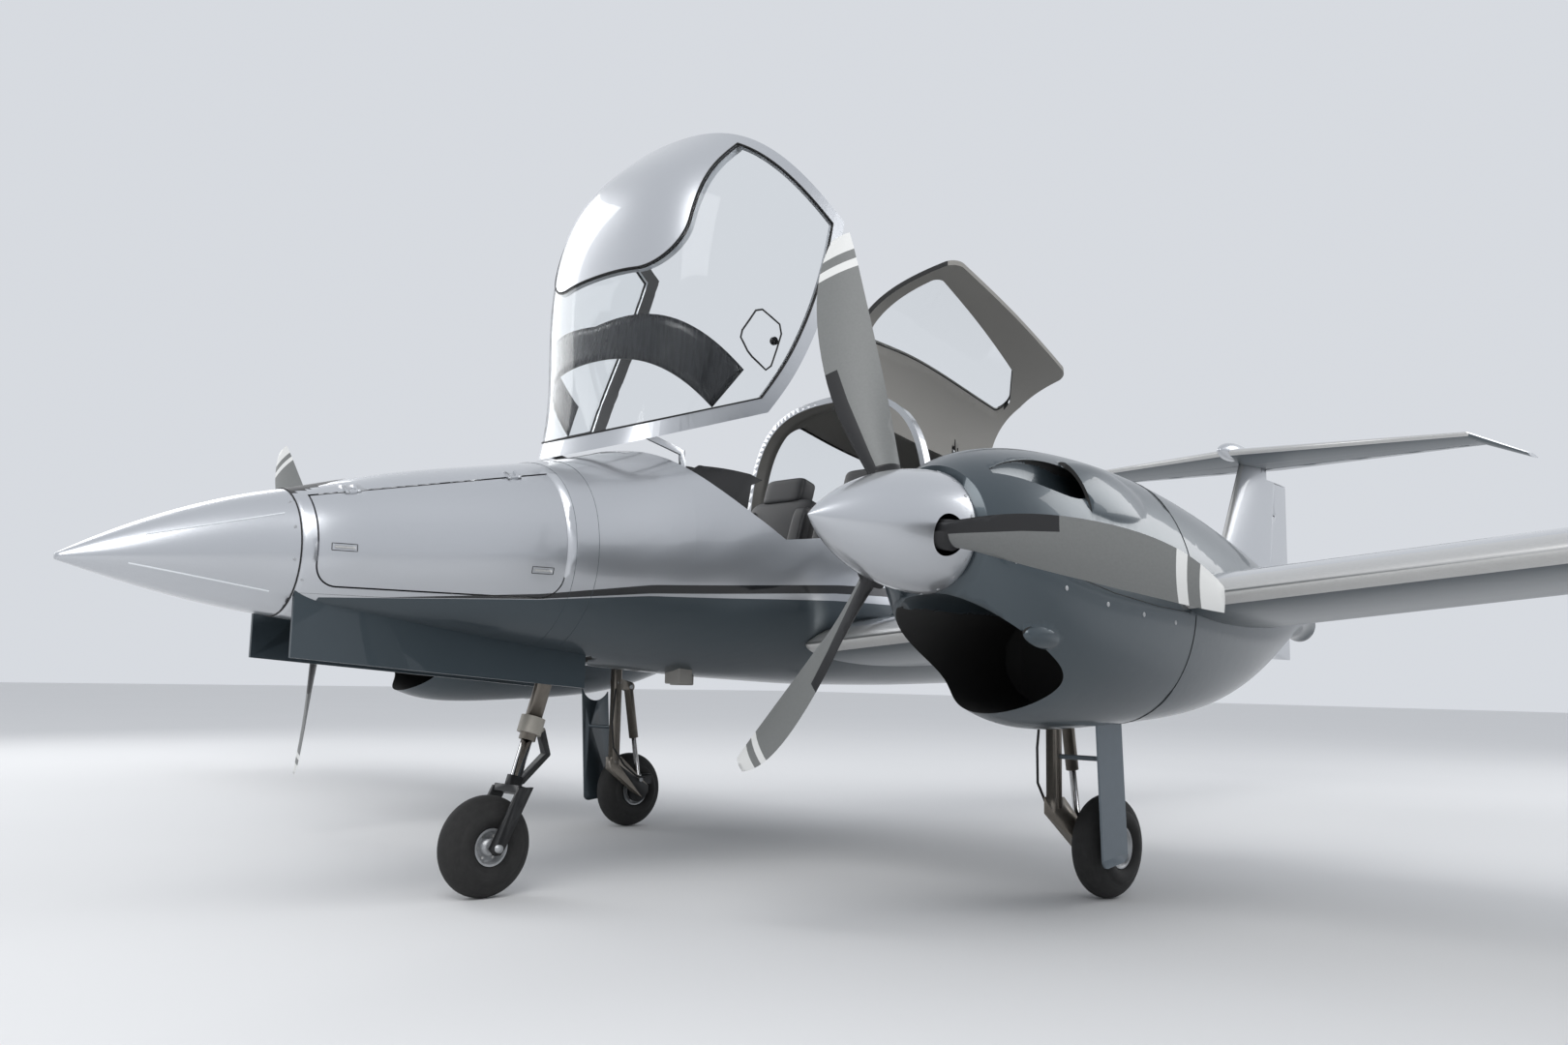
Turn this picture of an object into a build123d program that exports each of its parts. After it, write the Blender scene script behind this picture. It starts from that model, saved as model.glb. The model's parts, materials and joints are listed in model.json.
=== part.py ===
from build123d import *
from math import atan2, cos, degrees, radians, sin, sqrt, tan
import os

os.makedirs("parts", exist_ok=True)

# Four-seat low-wing aircraft with two engines, a T-tail and retractable tricycle landing gear.
# Millimetres. X points to the left wing, Y points aft, Z points up, and Z = 0 is the ground.
# Stations are counted aft from the tip of the nose; Y = 0 is at half of the length.
length = 8560
span = 13550
tail_span = 3270
track = 2860
wheelbase = 1784

# Clearances between pieces
panel_gap = 5
running_gap = 6
seat_gap = 0.3
pin_gap = 3

# Fuselage
nose_tip_height = 1088
radome_seam = 625
section_seam = 2020
cabin_end = 5000
boom_end = 7920
skin = 25
thin_skin = 14
floor_height = 1050
nose_floor_height = 1130
hatch_bay_front = 690
hatch_bay_rear = 1430
cabin_front = 1560
rear_bulkhead = 4650
bulkhead_thick = 20
wing_box_rear = 4060
floor_thick = 25
tail_hollow_end = 7300
gear_bay_front = 760
gear_bay_rear = 1790
gear_bay_half = 130
gear_bay_height = 1025
nose_door_front = radome_seam + panel_gap
nose_door_rear = 1742
nose_door_top = 1050

# Canopy and rear door, angles as they stand open
canopy_open = 53.5
canopy_hinge_station = 1858
canopy_hinge_height = 1451
canopy_front = 1905
canopy_front_height = 1667
canopy_corner = (2390, 1326)
canopy_sill_middle = (2840, 1402)
canopy_foot_height = 1543
hoop_station = 3280
canopy_band = 60
glass = 8
roof_front = 2580
roof_half_width = 420
roof_corner = 200
over_roof = 2300
door_open = 98.5
door_front = hoop_station + 2 * panel_gap
door_front_low = 1507
door_rear_low = (4460, 1457)
door_rear_corner = (4512, 1840)
door_roof_edge = ((-100, 4413), (440, 4512))
door_roof_gap = 9
door_corner_cut = 20
door_root_x = -22
roof_edge_x = -33
door_hinge_x = 29
door_hinge_front = 3400
door_hinge_rear = 4330
door_hinge_rise = 2090
door_hinge_fall = 1940
door_hinge_stations = (3560, 4140)
door_arm_reach = 62
door_ear_reach = 89
hoop_width = 45
hoop_low = 1300
hoop_depth = 25

# Hinges of canopy and rear door
canopy_arm_x = 310
canopy_arm_bends = ((0, 0), (202, -88), (262, -35), (177, 157))
canopy_ear_end = (-60, 90)
hinge_pin_radius = 5
hinge_end_radius = 12
hinge_arm_thick = 12
hinge_ear_thick = 8

panel_slot_end = 2140

# Nose baggage doors
hatch_front = 672
hatch_rear = 1475
hatch_low = 1045
hatch_hinge_front = (128, 660, 1325)
hatch_hinge_rear = (250, 1490, 1490)
hatch_hinge_places = (0.17, 0.83)
knuckle_radius = 6
knuckle_length = 24
knuckle_pin_radius = 2.5
knuckle_leaf = (22, -28)
knuckle_leaf_radius = 4

# Wing
root_x = 430
root_chord = 1380
tip_x = 6350
tip_chord = 850
dihedral = 5
wing_front = 2625
sweep = 1
wing_root_height = 925
rise_upper = 0.085
rise_lower = 0.055
crest_share = 0.35
trailing_edge = 8
hinge_share = 0.75
surface_pin_radius = 7
surface_pin_reach = 25
winglet_x = 6620
winglet_rise = 95
winglet_chord = 640
winglet_tip_rise = 330
winglet_tip_chord = 330
winglet_sweep = 300

# Tail
fin_base_front = 7150
fin_base_height = 1650
fin_top_front = 7545
fin_top_height = 2395
rudder_end = 8290
fin_rise = 0.05
rudder_hinge_slope = 240 / 1190
rudder_hinge_base = (7790, 1050)
rudder_low_height = 1000
rudder_mid_height = 1690
rudder_top_height = 2290
rudder_nose_low = 34
rudder_nose_mid = 43
rudder_nose_top = 28
rudder_lug_heights = (1250, 2050)
lug_thick = 8
tail_front = 7270
tail_height = 2420
tail_chord = 940
tail_kink_x = 1480
tail_kink_back = 290
tail_kink_chord = 470
tail_tip_chord = 240
tail_rise = 0.055
elevator_hinge = 7890
elevator_half_span = 1400
ventral_front = 6450
ventral_low = (7000, 739)
ventral_rear = (7590, 863)
ventral_thick = 36
tie_down_hole = (7020, 800)
tie_down_radius = 10

# Nacelles, engines and propellers
engine_x = 1731
thrust_height = 1207
cowl_front = 1765
cowl_seam = 2760
spinner_front = 1255
spinner_rear = 1745
spinner_radius = 178
spinner_wall = 6
propeller_radius = 950
blade_station = 1640
blade_angle_left = -20.1
blade_angle_right = -46.8
hub_radius = 85
hub_length = 2 * (spinner_rear - blade_station - spinner_wall)
blade_root_radius = 42
shaft_radius = 55
engine_size = (300, 720, 250)
engine_front = 1900
engine_base = 1045
mouth_height = 865
mouth_half_width = 235
mouth_half_height = 170
mouth_depth = 2480
lip_top = (1775, 850)
lip_low = (1935, 655)
scoop_lean = -61
blister_place = (226, 2003, 920)
blister_size = (34, 105, 40)

# Landing gear
main_x = track / 2
nose_wheel_station = 1445
main_wheel_station = nose_wheel_station + wheelbase
main_tyre_radius = 190
main_tyre_width = 150
main_rim_radius = 78
main_rim_width = 120
nose_tyre_radius = 178
nose_tyre_width = 122
nose_rim_radius = 66
nose_rim_width = 96
rim_dish = 26
axle_radius = 14
steer_top = (1662, 731)
steer_low = (1544, 349)
nose_leg_radius = 31
nose_leg_low = 545
nose_beam_low = 955
nose_beam_size = (60, 50)
nose_piston_radius = 21
fork_crown_height = 382
collar_gap = 1
fork_gap = 74
fork_thick = 16
collar_low = 568
collar_length = 62
collar_thick = 13
torque_knee = (102, 492)
torque_link_radius = 10
torque_link_width = 34
main_leg_station = 3040
main_leg_radius = 29
main_leg_low = 330
main_leg_top = 1010
trailing_arm_width = 44
shock_top = (3120, 730)
shock_low = (3205, 250)
shock_radius = 24
shock_rod_radius = 13
shock_sleeve_share = 0.55
brake_radius = 58
calliper_size = (34, 74, 52)


def at(station):
    """Y of a station."""
    return station - length / 2


def cross_plane(station, x=0):
    """Upright plane across the aircraft: its local x is X and its local y is Z."""
    return Plane(origin=(x, at(station), 0), x_dir=(1, 0, 0), z_dir=(0, -1, 0))


def rib_plane(x, station, height):
    """Upright plane along the aircraft: its local x points aft and its local y points up."""
    return Plane(origin=(x, at(station), height), x_dir=(0, 1, 0), z_dir=(1, 0, 0))


# Side view: its local x is the station and its local y is Z
side_plane = rib_plane(0, 0, 0)

# Handle length of a curved quarter that is nearly an ellipse, as a share of its reach
round_share = 0.552


def oval(station, top, low, half, widest, fullness=round_share, inset=0, x=0):
    """Cross-section of four curved quarters. The fullness swells the shoulders of the upper two."""
    with BuildSketch(cross_plane(station, x)) as section:
        with BuildLine():
            for reach, rise, share in (
                (half - inset, top - widest - inset, fullness),
                (half - inset, low - widest + inset, round_share),
            ):
                for side in (-reach, reach):
                    Bezier(
                        (side, widest),
                        (side, widest + share * rise),
                        (share * side, widest + rise),
                        (0, widest + rise),
                    )
        make_face()
    return section.sketch


def airfoil(plane, chord, upper, lower):
    """Wing section: an elliptical nose to the crest, then one tangent arc on each side."""
    crest = crest_share * chord
    with BuildSketch(plane) as section:
        with BuildLine():
            EllipticalCenterArc((crest, 0), crest, upper * chord, 90, arc_size=90)
            EllipticalCenterArc((crest, 0), crest, lower * chord, 180, arc_size=90)
            TangentArc((crest, -lower * chord), (chord, -trailing_edge / 2), tangent=(1, 0))
            Line((chord, -trailing_edge / 2), (chord, trailing_edge / 2))
            TangentArc((crest, upper * chord), (chord, trailing_edge / 2), tangent=(1, 0))
        make_face()
    return section.sketch


def teardrop(plane, nose, chord):
    """Control surface section: a round nose about the hinge and two flats to a blunt edge."""
    half_edge = trailing_edge / 2
    lean = atan2(nose - half_edge, chord)
    touch = (nose * sin(lean), nose * cos(lean))
    with BuildSketch(plane) as section:
        with BuildLine():
            ThreePointArc(touch, (-nose, 0), (touch[0], -touch[1]))
            Line((touch[0], -touch[1]), (chord, -half_edge))
            Line((chord, -half_edge), (chord, half_edge))
            Line((chord, half_edge), touch)
        make_face()
    return section.sketch


def station_box(front, rear, low, high, half=1500, x=0):
    """Plain block between two stations and two heights."""
    block = Box(2 * half, rear - front, high - low, mode=Mode.PRIVATE)
    return Pos(x, at((front + rear) / 2), (low + high) / 2) * block


def rod(middle, direction, rod_length, radius):
    """Round bar about a point, along a direction."""
    bar = Cylinder(radius, rod_length, mode=Mode.PRIVATE)
    return Plane(origin=middle, z_dir=direction).location * bar


def link(plane, start, end, radius, thick):
    """Flat bar with round ends between two points of a plane, half of it on each side."""
    reach = (end[0] - start[0], end[1] - start[1])
    with BuildSketch(plane) as bar:
        with Locations(((start[0] + end[0]) / 2, (start[1] + end[1]) / 2)):
            SlotCenterToCenter(sqrt(reach[0] ** 2 + reach[1] ** 2), 2 * radius,
                               rotation=degrees(atan2(reach[1], reach[0])))
    return extrude(bar.sketch, amount=thick / 2, both=True, mode=Mode.PRIVATE)


def save(piece, name):
    """Writes one sub-part under its name."""
    piece.part.label = name
    export_step(piece.part, f"parts/{name}.step")


# Fuselage sections: station, top, low, half width, height of the widest point, fullness
fuselage_sections = [
    (radome_seam, 1356, 950, 190, 1150, 0.55),
    (850, 1418, 922, 250, 1165, 0.56),
    (1100, 1478, 898, 300, 1180, 0.58),
    (1520, 1560, 855, 390, 1210, 0.62),
    (1860, 1647, 822, 418, 1234, 0.68),
    (2100, 1736, 805, 448, 1250, 0.73),
    (2450, 1919, 785, 562, 1270, 0.79),
    (2700, 2071, 775, 612, 1281, 0.80),
    (3000, 2165, 765, 621, 1290, 0.80),
    (3330, 2121, 765, 608, 1296, 0.80),
    (3700, 2068, 770, 592, 1304, 0.80),
    (4300, 1966, 790, 525, 1320, 0.74),
    (4750, 1912, 822, 441, 1330, 0.68),
    (5200, 1868, 860, 360, 1340, 0.62),
    (5650, 1838, 899, 296, 1350, 0.58),
    (6100, 1815, 936, 234, 1355, 0.56),
    (6550, 1791, 972, 184, 1360, 0.55),
    (7000, 1752, 1008, 135, 1360, 0.55),
    (7450, 1687, 1043, 93, 1356, 0.55),
    (boom_end, 1585, 1078, 62, 1340, 0.55),
]
radome_sections = [
    (0, nose_tip_height + 9, nose_tip_height - 9, 9, nose_tip_height),
    (110, 1160, 1048, 62, 1100),
    (330, 1262, 995, 125, 1125),
    (radome_seam, 1356, 950, 190, 1150),
]

with BuildPart() as nose_cone:
    loft(sections=[oval(*row) for row in radome_sections])
save(nose_cone, "nose_cone")

with BuildPart() as outer_form:
    loft(sections=[oval(*row) for row in fuselage_sections])

with BuildPart() as inner_form:
    loft(sections=[oval(*row, inset=skin) for row in fuselage_sections])

with BuildPart() as pane_form:
    loft(sections=[oval(*row, inset=glass) for row in fuselage_sections])

# Inside of the thin walls: the baggage doors and the tail
with BuildPart() as thin_wall_form:
    loft(sections=[oval(*row, inset=thin_skin) for row in fuselage_sections])

with BuildPart() as hoop_seat_form:
    loft(sections=[oval(*row, inset=skin - panel_gap) for row in fuselage_sections])

with BuildPart() as hoop_form:
    loft(sections=[oval(*row, inset=skin + panel_gap) for row in fuselage_sections])

with BuildPart() as hoop_room_form:
    loft(sections=[oval(*row, inset=skin + panel_gap + hoop_depth) for row in fuselage_sections])


# Side-view outlines of the openings
def canopy_outline():
    """A straight edge down the deck, a rising sill, and an upright rear edge at the hoop."""
    front = (canopy_front, canopy_front_height)
    foot = (hoop_station, canopy_foot_height)
    with BuildSketch(side_plane) as outline:
        with BuildLine():
            Line(front, canopy_corner)
            ThreePointArc(canopy_corner, canopy_sill_middle, foot)
            Polyline(foot, (hoop_station, over_roof), (canopy_front, over_roof), front)
        make_face()
    return outline.sketch


def door_outline():
    """Side view of the rear door: upright in front, a long sill, and a rear edge that leans back."""
    over_corner = (door_rear_corner[0], over_roof)
    with BuildSketch(side_plane) as outline:
        with BuildLine():
            FilletPolyline(over_corner, (door_front, over_roof), (door_front, door_front_low), door_rear_low,
                           door_rear_corner, radius=70)
            Line(door_rear_corner, over_corner)
        make_face()
    return outline.sketch


def behind_door(gap):
    """Space behind the door's edge in the roof, which slants as seen from above."""
    (inner_x, inner_station), (outer_x, outer_station) = door_roof_edge
    with BuildPart() as space:
        with BuildSketch(Plane.XY.offset(hoop_low)):
            with BuildLine():
                Polyline((inner_x, at(inner_station) + gap), (outer_x, at(outer_station) + gap),
                         (outer_x, at(cabin_end)), (inner_x, at(cabin_end)), close=True)
            make_face()
        extrude(amount=over_roof)
    return space.part


def rear_light_outline():
    """Side view of the rear side window."""
    front = door_front + 60
    with BuildSketch(side_plane) as outline:
        with BuildLine():
            FilletPolyline((front, 1628), (4250, 1676), (4450, 1790), (4400, 1850), (front + 50, 2037),
                           (front, 2010), radius=45, close=True)
        make_face()
    return outline.sketch


def hatch_outline():
    """Side view of a nose baggage door: the hinge line on top, round lower corners."""
    slope = (hatch_hinge_rear[2] - hatch_hinge_front[2]) / (hatch_hinge_rear[1] - hatch_hinge_front[1])
    top_front = hatch_hinge_front[2] + slope * (hatch_front - hatch_hinge_front[1])
    top_rear = hatch_hinge_front[2] + slope * (hatch_rear - hatch_hinge_front[1])
    with BuildSketch(side_plane) as outline:
        with BuildLine():
            FilletPolyline((hatch_front, top_front), (hatch_front, hatch_low), (hatch_rear, hatch_low),
                           (hatch_rear, top_rear), radius=70)
            Line((hatch_rear, top_rear), (hatch_front, top_front))
        make_face()
    return outline.sketch


def grown(sketch, amount):
    """The same outline, moved outward or inward by an amount."""
    return offset(sketch, amount=amount, kind=Kind.INTERSECTION, mode=Mode.PRIVATE)


half_room = 1500
roof_length = hoop_station - roof_front + 300
roof_middle = roof_front + roof_length / 2

with BuildPart() as canopy_space:
    extrude(canopy_outline(), amount=half_room, both=True)

with BuildPart() as canopy_room:
    extrude(grown(canopy_outline(), panel_gap), amount=half_room, both=True)

with BuildPart() as roof_panel:
    with BuildSketch(Plane.XY.offset(1700)):
        with Locations((0, at(roof_middle))):
            RectangleRounded(2 * roof_half_width, roof_length, roof_corner)
    extrude(amount=700)

with BuildPart() as canopy_light:
    extrude(grown(canopy_outline(), -canopy_band), amount=half_room, both=True)
    add(roof_panel.part, mode=Mode.SUBTRACT)

with BuildPart() as canopy_pane:
    extrude(grown(canopy_outline(), -canopy_band - seat_gap), amount=half_room, both=True)
    with BuildSketch(Plane.XY.offset(1700)):
        with Locations((0, at(roof_middle))):
            RectangleRounded(2 * (roof_half_width + seat_gap), roof_length + 2 * seat_gap,
                             roof_corner + seat_gap)
    extrude(amount=700, mode=Mode.SUBTRACT)

canopy_axis = Axis((0, at(canopy_hinge_station), canopy_hinge_height), (1, 0, 0))

with BuildPart() as canopy_frame_shut:
    add(outer_form.part)
    add(canopy_space.part, mode=Mode.INTERSECT)
    add(inner_form.part, mode=Mode.SUBTRACT)
    add(canopy_light.part, mode=Mode.SUBTRACT)

# Canopy hinges: a gooseneck arm of the frame between two ears under the deck, with a pin
ear_offset = hinge_arm_thick / 2 + pin_gap + hinge_ear_thick / 2
pin_length = 2 * ear_offset + hinge_ear_thick


def from_canopy_hinge(reach, rise):
    """Station and height of a point given from the canopy's hinge."""
    return (canopy_hinge_station + reach, canopy_hinge_height + rise)


with BuildPart() as canopy_arms:
    for side in (-1, 1):
        x = side * canopy_arm_x
        for start, end in zip(canopy_arm_bends, canopy_arm_bends[1:]):
            add(link(rib_plane(x, 0, 0), from_canopy_hinge(*start), from_canopy_hinge(*end),
                     hinge_end_radius, hinge_arm_thick))
        hinge_middle = (x, at(canopy_hinge_station), canopy_hinge_height)
        add(rod(hinge_middle, (1, 0, 0), pin_length, hinge_pin_radius + seat_gap), mode=Mode.SUBTRACT)
    add(thin_wall_form.part, mode=Mode.INTERSECT)

with BuildPart() as canopy_ears:
    for side in (-1, 1):
        x = side * canopy_arm_x
        for ear in (-1, 1):
            ear_plane = rib_plane(x + ear * ear_offset, 0, 0)
            add(link(ear_plane, from_canopy_hinge(0, 0), from_canopy_hinge(*canopy_ear_end),
                     hinge_end_radius, hinge_ear_thick))
        hinge_middle = (x, at(canopy_hinge_station), canopy_hinge_height)
        add(rod(hinge_middle, (1, 0, 0), pin_length, hinge_pin_radius))
    add(thin_wall_form.part, mode=Mode.INTERSECT)

# The deck's rear lip is cut back where the front edge of the canopy swings over it
edge_run = canopy_corner[0] - canopy_front
edge_fall = canopy_front_height - canopy_corner[1]
edge_length = sqrt(edge_run ** 2 + edge_fall ** 2)
canopy_edge_reach = (edge_run * (canopy_front_height - canopy_hinge_height)
                     + edge_fall * (canopy_front - canopy_hinge_station)) / edge_length
edge_foot_station = canopy_hinge_station + canopy_edge_reach * edge_fall / edge_length

with BuildPart() as canopy_swing:
    with BuildSketch(side_plane):
        with Locations((canopy_hinge_station, canopy_hinge_height)):
            Circle(2 * canopy_edge_reach)
            Circle(canopy_edge_reach - running_gap, mode=Mode.SUBTRACT)
    extrude(amount=half_room, both=True)
    add(station_box(canopy_hinge_station, edge_foot_station, canopy_hinge_height, over_roof),
        mode=Mode.INTERSECT)

with BuildPart() as canopy_frame:
    add(canopy_frame_shut.part.rotate(canopy_axis, canopy_open))
    add(canopy_arms.part.rotate(canopy_axis, canopy_open))
save(canopy_frame, "canopy_frame")

with BuildPart() as canopy_glass_shut:
    add(outer_form.part)
    add(canopy_pane.part, mode=Mode.INTERSECT)
    add(pane_form.part, mode=Mode.SUBTRACT)

with BuildPart() as canopy_glass:
    add(canopy_glass_shut.part.rotate(canopy_axis, canopy_open))
save(canopy_glass, "canopy_glass")

# Rear door on the left, hinged along the roof
with BuildPart() as door_space:
    extrude(door_outline(), amount=half_room, both=True)
    add(station_box(3000, 4700, 1200, 2400, x=door_root_x - half_room), mode=Mode.SUBTRACT)
    add(behind_door(0), mode=Mode.SUBTRACT)

with BuildPart() as door_room:
    extrude(grown(door_outline(), panel_gap), amount=half_room, both=True)
    add(station_box(3000, 4700, 1200, 2400, x=roof_edge_x - half_room), mode=Mode.SUBTRACT)
    add(behind_door(door_roof_gap), mode=Mode.SUBTRACT)

# Notches in the door's root for the ears of its hinges, and its corners cut back
door_notch_half = ear_offset + pin_gap + hinge_ear_thick / 2 + running_gap

with BuildPart() as door_notches:
    for front, rear in (
        *((station - door_notch_half, station + door_notch_half) for station in door_hinge_stations),
        (hoop_station, door_front + door_corner_cut),
        (door_roof_edge[0][1] - door_corner_cut, cabin_end),
    ):
        add(station_box(front, rear, 1700, over_roof, half=door_arm_reach))

with BuildPart() as rear_light_room:
    extrude(rear_light_outline(), amount=half_room, both=True)

with BuildPart() as rear_light_space:
    extrude(grown(rear_light_outline(), -seat_gap), amount=half_room, both=True)

door_axis = Axis(
    (door_hinge_x, at(door_hinge_front), door_hinge_rise),
    (0, door_hinge_front - door_hinge_rear, door_hinge_rise - door_hinge_fall),
)

with BuildPart() as rear_door_shut:
    add(outer_form.part)
    add(door_space.part, mode=Mode.INTERSECT)
    add(inner_form.part, mode=Mode.SUBTRACT)
    add(rear_light_room.part, mode=Mode.SUBTRACT)
    add(door_notches.part, mode=Mode.SUBTRACT)

door_slope = (door_hinge_fall - door_hinge_rise) / (door_hinge_rear - door_hinge_front)
door_hinge_way = (0, 1, door_slope)


def door_hinge_height_at(station):
    """Height of the door's hinge line."""
    return door_hinge_rise + door_slope * (station - door_hinge_front)


with BuildPart() as door_arms:
    for station in door_hinge_stations:
        height = door_hinge_height_at(station)
        add(link(cross_plane(station), (door_hinge_x, height), (door_hinge_x + door_arm_reach, height),
                 hinge_end_radius, hinge_arm_thick))
        hinge_middle = (door_hinge_x, at(station), height)
        add(rod(hinge_middle, door_hinge_way, 2 * pin_length, hinge_pin_radius + seat_gap), mode=Mode.SUBTRACT)

with BuildPart() as door_ears:
    for station in door_hinge_stations:
        for ear in (-1, 1):
            ear_station = station + ear * (ear_offset + pin_gap)
            height = door_hinge_height_at(ear_station)
            add(link(cross_plane(ear_station), (door_hinge_x, height), (door_hinge_x - door_ear_reach, height),
                     hinge_end_radius, hinge_ear_thick))
        hinge_middle = (door_hinge_x, at(station), door_hinge_height_at(station))
        add(rod(hinge_middle, door_hinge_way, pin_length + 2 * pin_gap, hinge_pin_radius))

with BuildPart() as rear_door:
    add(rear_door_shut.part.rotate(door_axis, door_open))
    add(door_arms.part.rotate(door_axis, door_open))
save(rear_door, "rear_door")

with BuildPart() as rear_panes:
    add(outer_form.part)
    add(rear_light_space.part, mode=Mode.INTERSECT)
    add(pane_form.part, mode=Mode.SUBTRACT)

with BuildPart() as rear_door_glass:
    add(rear_panes.part.solids().sort_by(Axis.X)[-1].rotate(door_axis, door_open))
save(rear_door_glass, "rear_door_glass")

with BuildPart() as rear_side_glass:
    add(rear_panes.part.solids().sort_by(Axis.X)[0])
save(rear_side_glass, "rear_side_glass")

# Nose baggage doors
with BuildPart() as hatch_space:
    extrude(hatch_outline(), amount=half_room, both=True)

with BuildPart() as hatch_room:
    extrude(grown(hatch_outline(), panel_gap), amount=half_room, both=True)

hatch_hinge_way = tuple(rear - front for front, rear in zip(hatch_hinge_front, hatch_hinge_rear))
hatch_line = Vector(hatch_hinge_way).normalized()
hatch_upward = (Vector(0, 0, 1) - hatch_line * hatch_line.Z).normalized()


def hatch_hinge_at(share):
    """Point of the hinge line of the left door, as a share of its length."""
    x, station, height = (front + share * reach for front, reach in zip(hatch_hinge_front, hatch_hinge_way))
    return (x, at(station), height)


# Hinges of the baggage doors: one knuckle of the door between two of the nose, with a pin
with BuildPart() as door_knuckles:
    for share in hatch_hinge_places:
        add(rod(hatch_hinge_at(share), hatch_hinge_way, knuckle_length, knuckle_radius))
    mirror(about=Plane.YZ)

with BuildPart() as knuckle_bores:
    for share in hatch_hinge_places:
        add(rod(hatch_hinge_at(share), hatch_hinge_way, 2 * knuckle_length, knuckle_pin_radius + seat_gap))
    mirror(about=Plane.YZ)

with BuildPart() as knuckle_pins:
    for share in hatch_hinge_places:
        add(rod(hatch_hinge_at(share), hatch_hinge_way, knuckle_length + 8, knuckle_pin_radius))
        for end in (-1, 1):
            middle = Vector(hatch_hinge_at(share)) + hatch_line * end * (knuckle_length / 2 + 1 + knuckle_radius)
            add(rod(middle, hatch_hinge_way, 2 * knuckle_radius, knuckle_radius))
            leaf_plane = Plane(origin=middle, x_dir=hatch_upward, z_dir=hatch_line)
            add(link(leaf_plane, (0, 0), knuckle_leaf, knuckle_leaf_radius, 2 * knuckle_radius))
    mirror(about=Plane.YZ)

with BuildPart() as nose_knuckle_room:
    for share in hatch_hinge_places:
        add(rod(hatch_hinge_at(share), hatch_hinge_way, knuckle_length + 2, knuckle_radius + pin_gap))
    mirror(about=Plane.YZ)

with BuildPart() as door_knuckle_room:
    for share in hatch_hinge_places:
        for end in (-1, 1):
            middle = Vector(hatch_hinge_at(share)) + hatch_line * end * (knuckle_length / 2 + 1 + knuckle_radius)
            add(rod(middle, hatch_hinge_way, 2 * knuckle_radius + 2, knuckle_radius + pin_gap))
    mirror(about=Plane.YZ)

with BuildPart() as hatches:
    add(outer_form.part)
    add(hatch_space.part, mode=Mode.INTERSECT)
    add(thin_wall_form.part, mode=Mode.SUBTRACT)
    add(door_knuckle_room.part, mode=Mode.SUBTRACT)
    add(door_knuckles.part)
    add(knuckle_bores.part, mode=Mode.SUBTRACT)

with BuildPart() as baggage_door_left:
    add(hatches.part.solids().sort_by(Axis.X)[-1])
save(baggage_door_left, "baggage_door_left")

with BuildPart() as baggage_door_right:
    add(hatches.part.solids().sort_by(Axis.X)[0])
save(baggage_door_right, "baggage_door_right")


# Wing
def wing_front_at(x):
    """Station of the leading edge."""
    return wing_front + (x - root_x) * tan(radians(sweep))


def wing_height_at(x):
    """Height of the chord line."""
    return wing_root_height + (x - root_x) * tan(radians(dihedral))


def wing_chord_at(x):
    """Chord of the straight part of the wing."""
    return root_chord + (tip_chord - root_chord) * (x - root_x) / (tip_x - root_x)


def wing_section(x):
    """Wing section at a distance from the centre."""
    plane = rib_plane(x, wing_front_at(x), wing_height_at(x))
    return airfoil(plane, wing_chord_at(x), rise_upper, rise_lower)


def wing_tip_section(x, rise, chord, back):
    """Section of the upturned tip."""
    plane = rib_plane(x, wing_front_at(tip_x) + back, wing_height_at(tip_x) + rise)
    return airfoil(plane, chord, rise_upper, rise_lower)


def hinge_nose(x):
    """Station, height and radius of the round nose of a control surface in the wing."""
    chord = wing_chord_at(x)
    fall = 1 - ((hinge_share - crest_share) / (1 - crest_share)) ** 2
    upper = rise_upper * chord * fall
    lower = rise_lower * chord * fall
    station = wing_front_at(x) + hinge_share * chord
    return station, wing_height_at(x) + (upper - lower) / 2, (upper + lower) / 2


# The hinge line of flaps and aileron is one straight line along the wing
hinge_inner = hinge_nose(root_x)
hinge_outer = hinge_nose(tip_x)
hinge_way = Vector(tip_x - root_x, hinge_outer[0] - hinge_inner[0], hinge_outer[1] - hinge_inner[1]).normalized()


def hinge_plane(x, move=0):
    """Plane square to the hinge line: its local x points aft. It can be moved outboard along the line."""
    station, height, radius = hinge_nose(x)
    aft = (Vector(0, 1, 0) - hinge_way * hinge_way.Y).normalized()
    return Plane(origin=Vector(x, at(station), height) + hinge_way * move, x_dir=aft, z_dir=hinge_way)


def hinge_circle(x, move=0, grow=0):
    """Circle about the hinge line, as large as the wing is thick there."""
    with BuildSketch(hinge_plane(x, move)) as circle:
        Circle(hinge_nose(x)[2] + grow)
    return circle.sketch


def hinge_pin(x, outboard, reach, radius):
    """Pin on the hinge line that reaches from one end of a control surface outboard or inboard."""
    middle = hinge_plane(x, outboard * reach / 2).origin
    return rod(middle, hinge_way, reach, radius)


with BuildPart() as wing_form:
    loft(sections=[wing_section(root_x), wing_section(tip_x)])

with BuildPart() as winglet_form:
    loft(
        sections=[
            wing_section(tip_x),
            wing_tip_section(winglet_x, winglet_rise, winglet_chord, tip_chord - winglet_chord),
            wing_tip_section(span / 2, winglet_tip_rise, winglet_tip_chord,
                             tip_chord - winglet_tip_chord + winglet_sweep),
        ]
    )

# Control surfaces of one wing: inner end, outer end
controls = {
    "flap_inner": (660, 1330),
    "flap_outer": (2140, 4250),
    "aileron": (4270, 6230),
}


def aft_slab(inner, outer, grow=0):
    """Space behind the hinge line between two distances from the centre, with its ends square to it."""
    with BuildPart() as slab:
        with BuildSketch(hinge_plane(inner, -grow)):
            Rectangle(root_chord, root_chord, align=(Align.MIN, Align.CENTER))
        extrude(amount=(outer - inner) / hinge_way.X + 2 * grow)
    return slab.part


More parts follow.
